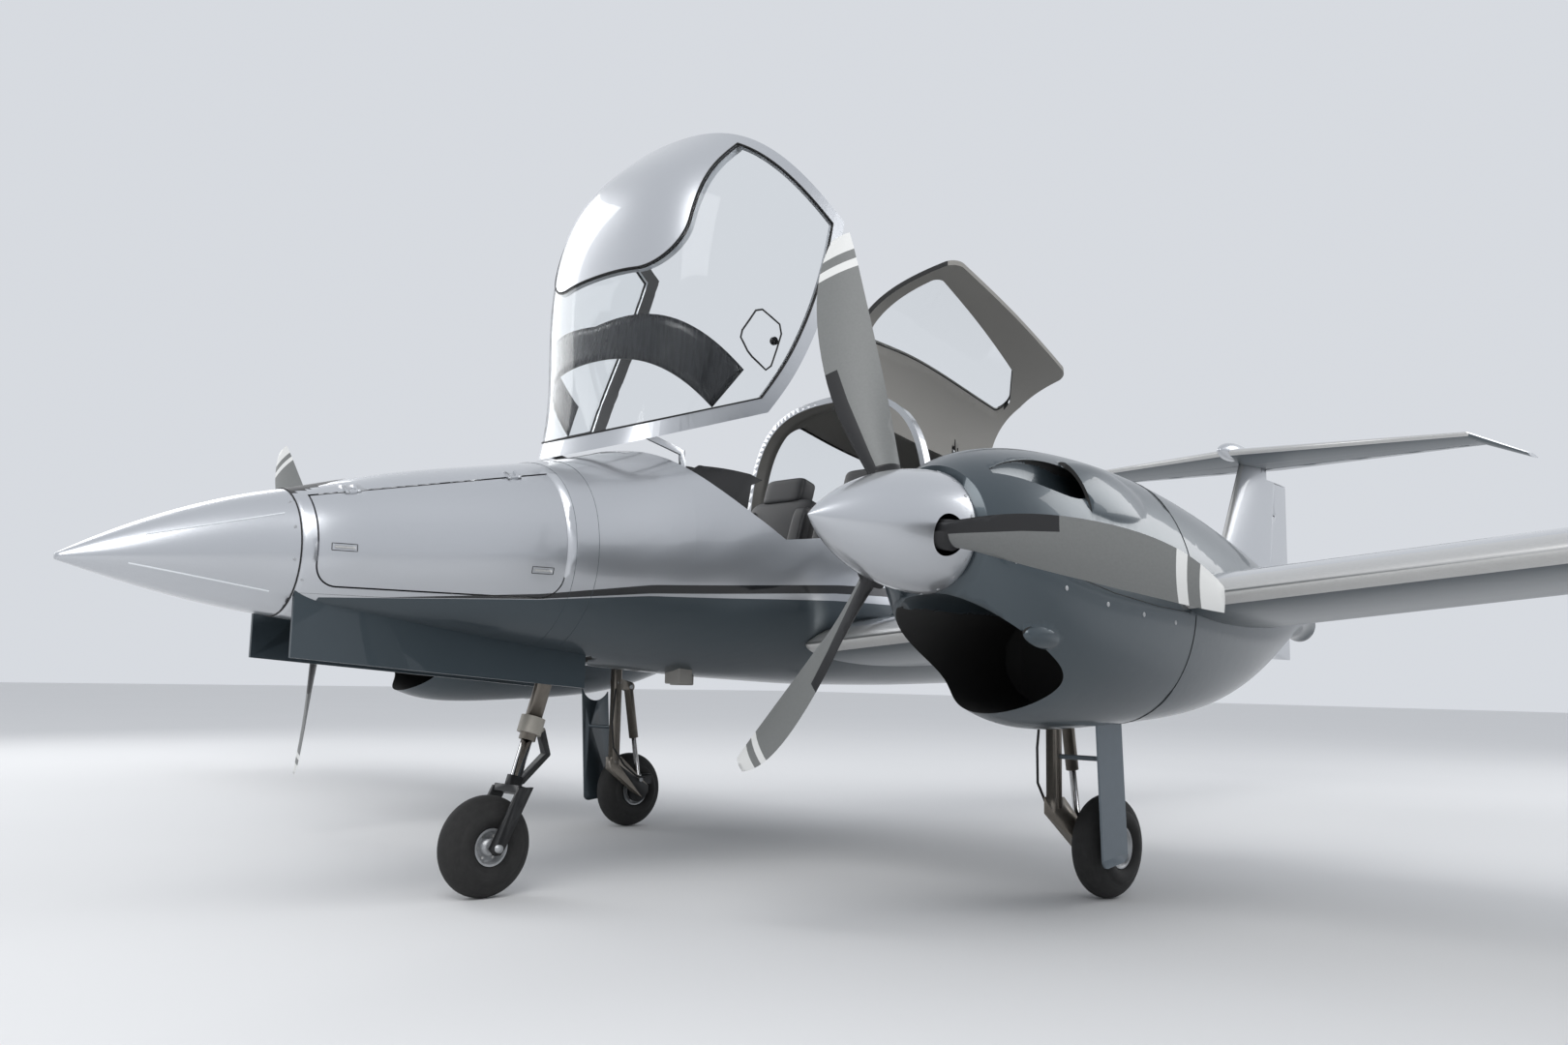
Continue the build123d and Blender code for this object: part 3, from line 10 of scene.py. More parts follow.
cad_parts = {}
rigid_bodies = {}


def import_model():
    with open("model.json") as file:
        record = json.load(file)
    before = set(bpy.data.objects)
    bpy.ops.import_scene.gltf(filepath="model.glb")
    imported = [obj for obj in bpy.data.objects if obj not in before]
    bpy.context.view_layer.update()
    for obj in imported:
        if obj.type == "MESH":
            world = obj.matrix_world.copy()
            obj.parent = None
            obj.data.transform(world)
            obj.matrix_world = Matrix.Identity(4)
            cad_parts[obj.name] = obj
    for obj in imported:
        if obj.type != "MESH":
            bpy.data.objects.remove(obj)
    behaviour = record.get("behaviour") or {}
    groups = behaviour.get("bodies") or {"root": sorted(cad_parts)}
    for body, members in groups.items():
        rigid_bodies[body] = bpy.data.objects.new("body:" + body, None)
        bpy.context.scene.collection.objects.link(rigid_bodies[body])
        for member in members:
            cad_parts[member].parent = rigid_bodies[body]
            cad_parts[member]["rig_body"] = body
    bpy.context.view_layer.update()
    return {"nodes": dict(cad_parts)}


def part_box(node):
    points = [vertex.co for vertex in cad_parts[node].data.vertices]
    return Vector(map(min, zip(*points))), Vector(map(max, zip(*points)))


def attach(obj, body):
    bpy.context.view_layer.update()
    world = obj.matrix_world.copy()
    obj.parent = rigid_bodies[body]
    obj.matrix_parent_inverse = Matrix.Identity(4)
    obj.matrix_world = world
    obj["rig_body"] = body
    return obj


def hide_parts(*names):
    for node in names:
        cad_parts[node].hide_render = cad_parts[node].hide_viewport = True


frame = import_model()
nodes = frame["nodes"]
scene = bpy.context.scene

# Stations are counted aft from the tip of the nose, in metres; Y = 0 is at half of the length.
length = 8.56
engine_x = 1.731
thrust_height = 1.207
blade_station = 1.640
blade_angles = {"left": -20.1, "right": -46.8}
canopy_hinge = Vector((0, 1.858 - length / 2, 1.451))
canopy_open = math.radians(53.5)


def at(station):
    """Y of a station."""
    return station - length / 2


# Camera, low in front of the left wing and looking slightly up
camera_place = Vector((3.9629, -5.3679, 0.7823))
camera_azimuth, camera_pitch, camera_roll = (math.radians(angle) for angle in (44.67, 7.0755, 1.129))
ahead = Vector((-math.sin(camera_azimuth) * math.cos(camera_pitch),
                math.cos(camera_azimuth) * math.cos(camera_pitch),
                math.sin(camera_pitch)))
across = ahead.cross(Vector((0, 0, 1))).normalized()
upward = across.cross(ahead)
right = math.cos(camera_roll) * across + math.sin(camera_roll) * upward
up = math.cos(camera_roll) * upward - math.sin(camera_roll) * across
camera_data = bpy.data.cameras.new("camera")
camera_data.sensor_width = 36
camera_data.lens = 29.09
camera = bpy.data.objects.new("camera", camera_data)
scene.collection.objects.link(camera)
turn = Matrix((right, up, -ahead)).transposed().to_4x4()
camera.matrix_world = Matrix.Translation(camera_place) @ turn
scene.camera = camera
scene.view_settings.view_transform = "Standard"


# Materials
def material(name, colour, rough, metal=0.0, **sockets):
    """New material with its principled shader; other shader inputs go by their names."""
    made = bpy.data.materials.new(name)
    made.use_nodes = True
    shader = made.node_tree.nodes["Principled BSDF"]
    shader.inputs["Base Color"].default_value = (*colour, 1)
    shader.inputs["Roughness"].default_value = rough
    shader.inputs["Metallic"].default_value = metal
    for socket, value in sockets.items():
        shader.inputs[socket.replace("_", " ")].default_value = value
    return made


def node(made, kind, **settings):
    """Adds a shader node to a material and sets its properties."""
    new = made.node_tree.nodes.new(kind)
    for key, value in settings.items():
        setattr(new, key, value)
    return new


def join(made, start, end):
    """Joins two sockets of a material."""
    made.node_tree.links.new(start, end)


def shader_of(made):
    """Inputs of a material's principled shader."""
    return made.node_tree.nodes["Principled BSDF"].inputs


def sums(made, operation, *values):
    """Math node over sockets and numbers."""
    new = node(made, "ShaderNodeMath", operation=operation)
    for place, value in enumerate(values):
        if isinstance(value, (int, float)):
            new.inputs[place].default_value = value
        else:
            join(made, value, new.inputs[place])
    return new.outputs[0]


def place_of(made, turned=None, origin=(0, 0, 0)):
    """X, Y and Z on the piece's own coordinates, about an origin and turned about Y."""
    coordinates = node(made, "ShaderNodeTexCoord")
    shift = node(made, "ShaderNodeVectorMath", operation="SUBTRACT")
    shift.inputs[1].default_value = origin
    join(made, coordinates.outputs["Object"], shift.inputs[0])
    vector = shift.outputs[0]
    if turned is not None:
        spin = node(made, "ShaderNodeVectorRotate", rotation_type="Y_AXIS")
        spin.inputs["Angle"].default_value = turned
        join(made, vector, spin.inputs["Vector"])
        vector = spin.outputs[0]
    split = node(made, "ShaderNodeSeparateXYZ")
    join(made, vector, split.inputs[0])
    return split.outputs


def noise(made, scale, detail=3.0, stretch=(1, 1, 1)):
    """Noise on the piece's own coordinates."""
    place = node(made, "ShaderNodeTexCoord")
    scaled = node(made, "ShaderNodeMapping")
    scaled.inputs["Scale"].default_value = stretch
    grain = node(made, "ShaderNodeTexNoise")
    grain.inputs["Scale"].default_value = scale
    grain.inputs["Detail"].default_value = detail
    join(made, place.outputs["Object"], scaled.inputs["Vector"])
    join(made, scaled.outputs[0], grain.inputs["Vector"])
    return grain.outputs["Fac"]


def blend(made, fac, low, high):
    """Colour between two colours or sockets by a factor."""
    mix = node(made, "ShaderNodeMix", data_type="RGBA")
    join(made, fac, mix.inputs["Factor"])
    for socket, value in ((mix.inputs[6], low), (mix.inputs[7], high)):
        if isinstance(value, tuple):
            socket.default_value = (*value, 1)
        else:
            join(made, value, socket)
    return mix.outputs[2]


def curve_of(made, value, rows):
    """Broken line through rows of place and value."""
    first, last = rows[0][0], rows[-1][0]
    low = min(row[1] for row in rows)
    high = max(row[1] for row in rows)
    share = sums(made, "DIVIDE", sums(made, "SUBTRACT", value, first), last - first)
    graph = node(made, "ShaderNodeFloatCurve")
    points = graph.mapping.curves[0].points
    while len(points) < len(rows):
        points.new(0.5, 0.5)
    for point, (place, height) in zip(points, rows):
        point.location = ((place - first) / (last - first), (height - low) / (high - low))
        point.handle_type = "VECTOR"
    graph.mapping.update()
    join(made, share, graph.inputs["Value"])
    return sums(made, "ADD", sums(made, "MULTIPLY", graph.outputs[0], high - low), low)


def bump(made, height, strength, distance):
    """Surface relief from a height."""
    relief = node(made, "ShaderNodeBump")
    relief.inputs["Strength"].default_value = strength
    relief.inputs["Distance"].default_value = distance
    join(made, height, relief.inputs["Height"])
    join(made, relief.outputs["Normal"], shader_of(made)["Normal"])


def varied(made, dark, light, scale, rough=None, relief=None, stretch=(1, 1, 1)):
    """Colour, roughness and relief that follow the same grain."""
    grain = noise(made, scale, 4.0, stretch)
    join(made, blend(made, grain, dark, light), shader_of(made)["Base Color"])
    if rough:
        spread = node(made, "ShaderNodeMapRange")
        spread.inputs["To Min"].default_value, spread.inputs["To Max"].default_value = rough
        join(made, grain, spread.inputs["Value"])
        join(made, spread.outputs[0], shader_of(made)["Roughness"])
    if relief:
        bump(made, grain, *relief)
    return made


silver_tone = ((0.50, 0.515, 0.54), (0.565, 0.58, 0.605))
slate_tone = ((0.046, 0.062, 0.073), (0.060, 0.079, 0.092))
black_tone = (0.008, 0.008, 0.009)


def metallic(name, tone, metal, coat=1.0):
    """Metallic gloss paint with fine flakes under a clear coat."""
    return varied(material(name, tone[1], 0.3, metal, Coat_Weight=coat, Coat_Roughness=0.03),
                  *tone, 900, rough=(0.26, 0.36), relief=(0.04, 0.0004))


silver = metallic("silver_paint", silver_tone, 0.8)
slate = metallic("slate_paint", slate_tone, 0.5, 0.5)
black = varied(material("black_plastic", black_tone, 0.45), (0.006, 0.006, 0.007), (0.014, 0.014, 0.015), 300,
               rough=(0.4, 0.55), relief=(0.1, 0.0005))
seal = varied(material("rubber_seal", black_tone, 0.7), (0.008, 0.008, 0.008), (0.018, 0.018, 0.018), 120,
              rough=(0.6, 0.8))
# Near-black for the nose gear bay, the intakes, the engine bay and the engine: painted shade of these
# recesses, not their own colour.
recess_shade = varied(material("painted_recess_shade", black_tone, 0.8), (0.010, 0.010, 0.010), (0.022, 0.021, 0.020), 25,
                rough=(0.7, 0.9))
# Beige liner, darkened below its own tone for the shade on its down-facing faces: its own colour with painted
# shade.
liner = varied(material("beige_liner", (0.27, 0.26, 0.24), 0.75), (0.25, 0.24, 0.22), (0.29, 0.28, 0.26), 500,
               rough=(0.65, 0.85), relief=(0.15, 0.0006))
carpet = varied(material("carpet", (0.03, 0.03, 0.032), 0.95), (0.018, 0.018, 0.02),
                (0.045, 0.045, 0.048), 900, rough=(0.85, 1.0), relief=(0.5, 0.002))
bronze = varied(material("bronze_grey_tube", (0.24, 0.215, 0.185), 0.35, 0.7), (0.20, 0.18, 0.155),
                (0.28, 0.25, 0.215), 60, rough=(0.28, 0.45), relief=(0.03, 0.0005))
collar = varied(material("beige_grey_collar", (0.36, 0.34, 0.30), 0.45, 0.4), (0.33, 0.31, 0.27),
                (0.40, 0.375, 0.33), 80, rough=(0.4, 0.55))
chrome = varied(material("chrome", (0.75, 0.75, 0.76), 0.06, 1.0), (0.72, 0.72, 0.73), (0.80, 0.80, 0.81), 40,
                rough=(0.04, 0.09))
alloy = varied(material("grey_alloy", (0.42, 0.43, 0.44), 0.4, 0.6), (0.37, 0.38, 0.39),
               (0.48, 0.49, 0.50), 90, rough=(0.32, 0.5), relief=(0.05, 0.0005))
bare = varied(material("bare_metal", (0.62, 0.615, 0.60), 0.3, 1.0), (0.56, 0.555, 0.54),
              (0.68, 0.675, 0.66), 40, rough=(0.22, 0.38), stretch=(1, 12, 1))
forged = varied(material("black_forging", (0.018, 0.019, 0.02), 0.4, 0.3), (0.012, 0.012, 0.013),
                (0.028, 0.029, 0.03), 70, rough=(0.3, 0.5), relief=(0.08, 0.0006))
plate = varied(material("blue_grey_plate", (0.16, 0.19, 0.215), 0.42, 0.3), (0.145, 0.172, 0.196),
               (0.175, 0.207, 0.234), 30, rough=(0.36, 0.48))
red = varied(material("red_tag", (0.35, 0.018, 0.02), 0.5), (0.30, 0.014, 0.016), (0.42, 0.024, 0.026), 60,
             rough=(0.4, 0.6))
leather = varied(material("seat_leather", (0.014, 0.014, 0.015), 0.45), (0.010, 0.010, 0.011),
                 (0.022, 0.022, 0.023), 260, rough=(0.38, 0.55), relief=(0.25, 0.0012))
stitch = varied(material("seat_stitching", (0.06, 0.06, 0.062), 0.6), (0.05, 0.05, 0.052),
                (0.08, 0.08, 0.082), 400)
screen = varied(material("dark_screen", (0.006, 0.008, 0.010), 0.08, Coat_Weight=1.0), (0.005, 0.007, 0.009),
                (0.009, 0.011, 0.014), 20, rough=(0.05, 0.1))
# Dark arch inside the canopy; its grain, stretched upright into streaks, is painted reflection.
arch_painted_reflections = varied(material("arch_painted_reflections", (0.02, 0.021, 0.023), 0.25), (0.014, 0.015, 0.017),
                   (0.035, 0.036, 0.04), 14, rough=(0.2, 0.35), stretch=(6, 6, 0.4))
clear = material("clear_pane", (0.94, 0.955, 0.96), 0.015, IOR=1.2, Transmission_Weight=1.0)
light_pane = varied(material("light_pane", (0.75, 0.78, 0.80), 0.08, Coat_Weight=1.0), (0.72, 0.75, 0.77),
                    (0.80, 0.83, 0.85), 60, rough=(0.06, 0.12))


def fuselage_paint():
    """Silver above, slate below, and a black tapered stripe over the boundary."""
    made = metallic("fuselage_paint", silver_tone, 0.8)
    place = place_of(made)
    along, height = place["Y"], place["Z"]
    slate_top = curve_of(made, along, [(at(s), z) for s, z in (
        (0, 0.7), (0.655, 0.7), (0.672, 0.94), (0.69, 1.008), (1.41, 1.038), (1.85, 1.075), (2.64, 1.098),
        (4.3, 1.10), (5.6, 1.12), (8.56, 1.17))])
    stripe_low = curve_of(made, along, [(at(s), z) for s, z in (
        (0, 1.02), (0.9, 1.018), (1.41, 1.040), (1.85, 1.084), (2.64, 1.126), (4.3, 1.15), (8.56, 1.25))])
    stripe_top = curve_of(made, along, [(at(s), z) for s, z in (
        (0, 1.02), (0.9, 1.019), (1.41, 1.057), (1.85, 1.115), (2.64, 1.159), (4.3, 1.195), (8.56, 1.26))])
    under = sums(made, "LESS_THAN", height, slate_top)
    striped = sums(made, "MULTIPLY", sums(made, "GREATER_THAN", height, stripe_low),
                   sums(made, "LESS_THAN", height, stripe_top))
    flakes = noise(made, 900, 2.0)
    tone = blend(made, striped, blend(made, flakes, *silver_tone), (0.012, 0.013, 0.015))
    tone = blend(made, under, tone, blend(made, flakes, *slate_tone))
    join(made, tone, shader_of(made)["Base Color"])
    dull = sums(made, "MAXIMUM", under, striped)
    coat = sums(made, "SUBTRACT", 1.0, sums(made, "MULTIPLY", under, 0.6))
    join(made, coat, shader_of(made)["Coat Weight"])
    join(made, sums(made, "SUBTRACT", 0.8, sums(made, "MULTIPLY", dull, 0.3)), shader_of(made)["Metallic"])
    return made


def edged_paint(name, tone, front_at, depth, metal=0.8, coat=1.0):
    """Paint with a bare metal strip along the leading edge: front_at gives Y of the edge from |X| and Z."""
    made = metallic(name, tone, metal, coat)
    place = place_of(made)
    edge = front_at(made, sums(made, "ABSOLUTE", place["X"]), place["Z"])
    strip = sums(made, "LESS_THAN", sums(made, "SUBTRACT", place["Y"], edge), depth)
    flakes = noise(made, 900, 2.0)
    brushed = noise(made, 60, 3.0, (1, 14, 14))
    metal_tone = blend(made, brushed, (0.5, 0.495, 0.48), (0.68, 0.675, 0.66))
    join(made, blend(made, strip, blend(made, flakes, *tone), metal_tone), shader_of(made)["Base Color"])
    return made


def line_at(start, slope):
    """Straight leading edge: Y = start + slope * |X|."""
    return lambda made, out, height: sums(made, "ADD", sums(made, "MULTIPLY", out, slope), start)


def fin_edge(made, out, height):
    """Leading edge of the fin: it leans back with height."""
    rise = sums(made, "SUBTRACT", height, 1.65)
    return sums(made, "ADD", sums(made, "MULTIPLY", rise, (7.545 - 7.150) / (2.395 - 1.650)), at(7.150))


hull = fuselage_paint()
wing_upper = edged_paint("wing_silver", silver_tone, line_at(at(2.6175), 0.0175), 0.055)
wing_under = edged_paint("wing_slate", slate_tone, line_at(at(2.6175), 0.0175), 0.055, 0.3, 0.1)
tail_upper = edged_paint("tail_silver", silver_tone, line_at(at(7.270), 0.196), 0.03)
tail_under = edged_paint("tail_slate", slate_tone, line_at(at(7.270), 0.196), 0.03, 0.3, 0.1)
fin_silver = edged_paint("fin_silver", silver_tone, fin_edge, 0.03)


def rubber_of(name, centre, radius, half):
    """Tyre rubber with grooves round the tread and fine dust on the sides."""
    made = material(name, (0.012, 0.012, 0.013), 0.8)
    place = place_of(made, origin=centre)
    squares = sums(made, "ADD", sums(made, "POWER", place["Y"], 2), sums(made, "POWER", place["Z"], 2))
    reach = sums(made, "SQRT", squares)
    out = sums(made, "DIVIDE", sums(made, "ABSOLUTE", place["X"]), half)
    wave = sums(made, "SINE", sums(made, "MULTIPLY", out, 21.0))
    tread = sums(made, "MULTIPLY", sums(made, "GREATER_THAN", reach, radius * 0.88),
                 sums(made, "GREATER_THAN", wave, 0.72))
    ring_wave = sums(made, "SINE", sums(made, "MULTIPLY", reach, 2 * math.pi / (radius * 0.09)))
    rib = sums(made, "GREATER_THAN", ring_wave, 0.94)
    dust = noise(made, 40, 4.0)
    join(made, blend(made, dust, (0.010, 0.010, 0.010), (0.026, 0.025, 0.024)), shader_of(made)["Base Color"])
    height = sums(made, "SUBTRACT", sums(made, "MULTIPLY", rib, 0.3), tread)
    bump(made, height, 0.8, 0.003)
    return made


def blade_paint(name, hub, angle):
    """Grey blade with a black boot on the inner leading edge and white tip bands."""
    made = material(name, (0.17, 0.175, 0.17), 0.5)
    place = place_of(made, turned=math.radians(-angle), origin=hub)
    outward, chordwise = place["Z"], place["X"]
    grain = noise(made, 150, 4.0)
    paint = blend(made, grain, (0.155, 0.16, 0.155), (0.19, 0.195, 0.19))
    boot_line = [(0, 0.02), (0.10, 0.012), (0.23, -0.008), (0.42, -0.034), (0.56, -0.046), (1, -0.046)]
    boot_edge = curve_of(made, outward, boot_line)
    boot = sums(made, "MULTIPLY", sums(made, "LESS_THAN", chordwise, boot_edge),
                sums(made, "LESS_THAN", outward, 0.53))
    root = sums(made, "LESS_THAN", outward, 0.19)
    bands = sums(made, "MULTIPLY", sums(made, "GREATER_THAN", outward, 0.835),
                 sums(made, "LESS_THAN", outward, 0.862))
    bands = sums(made, "MAXIMUM", bands, sums(made, "GREATER_THAN", outward, 0.893))
    paint = blend(made, bands, paint, (0.72, 0.72, 0.70))
    paint = blend(made, sums(made, "MAXIMUM", boot, root), paint, (0.010, 0.010, 0.011))
    join(made, paint, shader_of(made)["Base Color"])
    bump(made, grain, 0.05, 0.0006)
    return made


# Helpers for pieces
trees = {}


def mesh_of(name):
    """Points and faces of a node in its place."""
    mesh = nodes[name].data
    return [vertex.co.copy() for vertex in mesh.vertices], [tuple(face.vertices) for face in mesh.polygons]


def tree_of(*names, move=None):
    """Search tree over nodes, moved by a matrix."""
    key = (names, move is not None)
    if key not in trees:
        points, faces = [], []
        for name in names:
            more, corners = mesh_of(name)
            faces += [tuple(index + len(points) for index in face) for face in corners]
            points += [move @ point for point in more] if move else more
        trees[key] = BVHTree.FromPolygons(points, faces)
    return trees[key]


def hit(tree, origin, way, lift=0.0):
    """Point where a ray first meets a tree, lifted toward where it came from; None if it misses."""
    place, normal = tree.ray_cast(Vector(origin), Vector(way).normalized())[:2]
    if place is None:
        return None
    if normal.dot(Vector(way)) > 0:
        normal = -normal
    return place + lift * normal


def keep(made, body, *replaced):
    """Puts a piece in the scene on its body, in place of nodes."""
    if made.name not in scene.collection.objects:
        scene.collection.objects.link(made)
    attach(made, body)
    if replaced:
        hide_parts(*replaced)
    return made


def body_of(name):
    """Body that a node belongs to."""
    return nodes[name]["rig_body"]


def new_mesh(name, points, faces, finish, body, smooth=True, sharp=40):
    """Mesh piece from points and faces."""
    mesh = bpy.data.meshes.new(name)
    mesh.from_pydata([tuple(point) for point in points], [], [tuple(int(i) for i in face) for face in faces])
    mesh.materials.append(finish)
    if smooth:
        mesh.shade_smooth()
        mesh.set_sharp_from_angle(angle=math.radians(sharp))
    made = bpy.data.objects.new(name, mesh)
    scene.collection.objects.link(made)
    if body:
        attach(made, body)
    return made


def lines(name, runs, radius, finish, body, closed=False):
    """Round lines through runs of points, all in one piece."""
    data = bpy.data.curves.new(name, "CURVE")
    data.dimensions = "3D"
    data.bevel_depth = radius
    data.bevel_resolution = 1
    data.use_fill_caps = True
    for run in runs:
        spline = data.splines.new("POLY")
        spline.points.add(len(run) - 1)
        for point, place in zip(spline.points, run):
            point.co = (*place, 1)
        spline.use_cyclic_u = closed
    data.materials.append(finish)
    return keep(bpy.data.objects.new(name, data), body)


def strewn(name, places, radius, height, finish, body, sides=12):
    """Small round heads at places with their directions, all in one piece, each with a sunk middle."""
    points, faces = [], []
    for place, way in places:
        way = Vector(way).normalized()
        side = way.orthogonal().normalized()
        other = way.cross(side)
        start = len(points)
        for reach, rise in ((1.0, -0.5), (1.0, 0.6), (0.82, 1.0), (0.42, 1.0), (0.34, 0.6)):
            for step in range(sides):
                turn = 2 * math.pi * step / sides
                points.append(Vector(place) + way * (rise * height)
                              + reach * radius * (math.cos(turn) * side + math.sin(turn) * other))
        for ring in range(4):
            for step in range(sides):
                a = start + ring * sides + step
                b = start + ring * sides + (step + 1) % sides
                faces.append((a, b, b + sides, a + sides))
        faces.append([start + 4 * sides + step for step in range(sides)])
    return new_mesh(name, points, faces, finish, body, sharp=35)


def skin(name, finishes, rule=None, sharp=32, shrink=0.0):
    """The node's mesh with smooth curves, in the node's place; the rule picks the finish of a face."""
    copy = bpy.data.meshes.new_from_object(nodes[name])
    copy.materials.clear()
    for finish in finishes:
        copy.materials.append(finish)
    shape = bmesh.new()
    shape.from_mesh(copy)
    bmesh.ops.remove_doubles(shape, verts=shape.verts, dist=1e-5)
    shape.normal_update()
    for face in shape.faces:
        face.material_index = rule(face.calc_center_median(), face.normal) if rule else 0
    for vert in shape.verts:
        vert.co -= shrink * vert.normal
    shape.to_mesh(copy)
    shape.free()
    copy.shade_smooth()
    copy.set_sharp_from_angle(angle=math.radians(sharp))
    return keep(bpy.data.objects.new(f"{name}_skin", copy), body_of(name), name)


def edge_trim(name, radius, finish, sharp=50):
    """A seal along the sharp edges of a node."""
    copy = bpy.data.meshes.new_from_object(nodes[name])
    shape = bmesh.new()
    shape.from_mesh(copy)
    bmesh.ops.remove_doubles(shape, verts=shape.verts, dist=1e-5)
    shape.normal_update()
    runs = []
    for edge in shape.edges:
        if len(edge.link_faces) == 2 and edge.calc_face_angle(0) > math.radians(sharp):
            runs.append([vert.co.copy() for vert in edge.verts])
    shape.free()
    if runs:
        lines(f"{name}_trim", runs, radius, finish, body_of(name))


# Floor and light
floor_half = 60
floor_paint = varied(material("floor_paint", (0.74, 0.74, 0.74), 0.9), (0.73, 0.73, 0.73),
                     (0.75, 0.75, 0.75), 0.5)
corners = [(x * floor_half, y * floor_half, 0) for x, y in ((-1, -1), (1, -1), (1, 1), (-1, 1))]
new_mesh("floor", corners, [(0, 1, 2, 3)], floor_paint, None)

world = bpy.data.worlds.new("studio")
scene.world = world
world.use_nodes = True
world.node_tree.nodes["Background"].inputs["Color"].default_value = (0.80, 0.83, 0.88, 1)
world.node_tree.nodes["Background"].inputs["Strength"].default_value = 0.85

for name, place, target, size, power in (
    ("key", (5, -9, 9), (0, 0, 1), 7, 620),
    ("fill", (-9, -3, 6), (0, 0, 1), 6, 260),
    ("rim", (6, 9, 7), (0, 0, 1.5), 6, 300),
):
    lamp_data = bpy.data.lights.new(name, "AREA")
    lamp_data.size = size
    lamp_data.energy = power
    lamp = bpy.data.objects.new(name, lamp_data)
    aim = (Vector(target) - Vector(place)).to_track_quat("-Z", "Y")
    lamp.matrix_world = Matrix.Translation(place) @ aim.to_matrix().to_4x4()
    scene.collection.objects.link(lamp)


# Skins of the nodes
def inside_hull(centre, normal):
    """True for a face that looks at the middle of the fuselage."""
    return Vector((-centre.x, 0, 1.42 - centre.z)).normalized().dot(normal) > 0.25


def hull_rule(centre, normal):
    """Outside paint, dark floor, pale liner on the cabin walls, and painted shade (near-black) in the gear
    bay.
    """
    if abs(centre.x) < 0.14 and centre.z < 1.04 and at(0.75) < centre.y < at(1.8):
        return 3
    if normal.z > 0.9 and 1.0 < centre.z < 1.2 and centre.y > at(1.56):
        return 1
    if inside_hull(centre, normal) and centre.z > 1.04:
        return 2
    return 0


def spinner_rule(axis_place):
    """Outside paint and a dark inside for a node that curves round a place."""
    def rule(centre, normal):
        return 1 if (axis_place - centre).dot(normal) > 0.0 else 0
    return rule


def nacelle_rule(side):
    """Slate outside, painted shade (near-black) inside the intakes and the engine bay."""
    def rule(centre, normal):
        inward = Vector((side * engine_x - centre.x, 0, 1.08 - centre.z))
        out = abs(centre.x) - engine_x
        near_scoop = out > 0.1 and centre.z > 1.27 and at(2.15) < centre.y < at(2.5)
        in_scoop = near_scoop and inward.dot(normal) > -0.02
        rear_wall = normal.y < -0.9 and centre.y > at(2.3)
        return 1 if in_scoop or rear_wall or (inward.dot(normal) > 0.0 and abs(normal.y) < 0.98) else 0
    return rule


for name in ("nose_section", "cabin_section", "tail_boom"):
    skin(name, [hull, carpet, liner if name == "cabin_section" else black, recess_shade], hull_rule)
skin("nose_cone", [silver])

canopy_middle = canopy_hinge + Matrix.Rotation(canopy_open, 3, "X") @ Vector((0, 0.85, 0.0))
canopy_axis = Matrix.Rotation(canopy_open, 3, "X") @ Vector((0, 1, 0))


def canopy_rule(centre, normal):
    """Silver outside and a black inside for the canopy frame."""
    inward = canopy_middle - centre
    inward -= canopy_axis * inward.dot(canopy_axis)
    return 1 if inward.dot(normal) > 0.12 * inward.length else 0


skin("canopy_frame", [silver, black], canopy_rule)
door_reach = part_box("rear_door")[1][0]


def door_rule(centre, normal):
    """Silver outside, pale liner inside; the open door's inside looks outboard and down."""
    inward = normal.dot(Vector((0.92, -0.1, -0.35)))
    if inward > 0.35:
        return 1
    return 0 if inward < -0.2 else 2


skin("rear_door", [silver, liner, seal], door_rule)
for name in ("canopy_glass", "rear_door_glass", "rear_side_glass"):
    skin(name, [clear])
    edge_trim(name, 0.0035, seal)
for side in ("left", "right"):
    skin(f"baggage_door_{side}", [hull, black], lambda centre, normal: int(inside_hull(centre, normal)))



def under_rule(centre, normal):
    """The second finish for a face that looks down."""
    return int(normal.z < -0.05)


for side in ("left", "right"):
    skin(f"wing_{side}", [wing_upper, wing_under], under_rule)
    for control in ("flap_inner", "flap_outer", "aileron"):
        skin(f"{control}_{side}", [silver, slate], under_rule)
skin("tailplane", [tail_upper, tail_under], under_rule)
skin("elevator", [silver, slate], under_rule)
skin("fin", [fin_silver])
skin("rudder", [silver])
skin("tail_fairing", [silver])
skin("ventral_fin", [slate])

for side, name in ((1, "left"), (-1, "right")):
    skin(f"cowl_{name}", [slate, recess_shade], nacelle_rule(side))
    skin(f"nacelle_{name}", [slate])
    # The engine inside the cowl is painted near-black as shade.
    skin(f"engine_{name}", [recess_shade])
    spinner_middle = Vector((side * engine_x, at(1.70), thrust_height))
    skin(f"spinner_{name}", [silver, black], spinner_rule(spinner_middle))
    skin(f"propeller_shaft_{name}", [forged])
    hub = Vector((side * engine_x, at(blade_station), thrust_height))
    paints = [blade_paint(f"blade_{name}_{turn}", hub, blade_angles[name] + 120 * turn) for turn in range(3)]

    def blade_rule(centre, normal, hub=hub, name=name):
        """Blade that a face belongs to, from its direction about the hub."""
        reach = centre - hub
        if math.hypot(reach.x, reach.z) < 0.09:
            return 3
        turn = math.degrees(math.atan2(reach.x, reach.z)) - blade_angles[name]
        return round(turn / 120) % 3

    skin(f"propeller_{name}", [*paints, forged], blade_rule, sharp=40)
    skin(f"main_gear_door_{name}", [plate if side > 0 else slate])
    skin(f"nose_gear_door_{name}", [slate])

# Landing gear
steer_low = Vector((0, at(1.544), 0.349))
steer_way = Vector((0, 0.118, 0.382)).normalized()


def fork_rule(centre, normal):
    """Chrome piston, pale collar, black fork and links, bright axle ends."""
    along = (centre - steer_low).dot(steer_way)
    off = (centre - steer_low - steer_way * along).length
    if abs(centre.x) > 0.091 or (centre - Vector((centre.x, at(1.445), 0.178))).length < 0.0145:
        return 3
    if off < 0.024 and along > 0.06:
        return 1
    if 0.225 < along < 0.30 and off < 0.05:
        return 2
    return 0


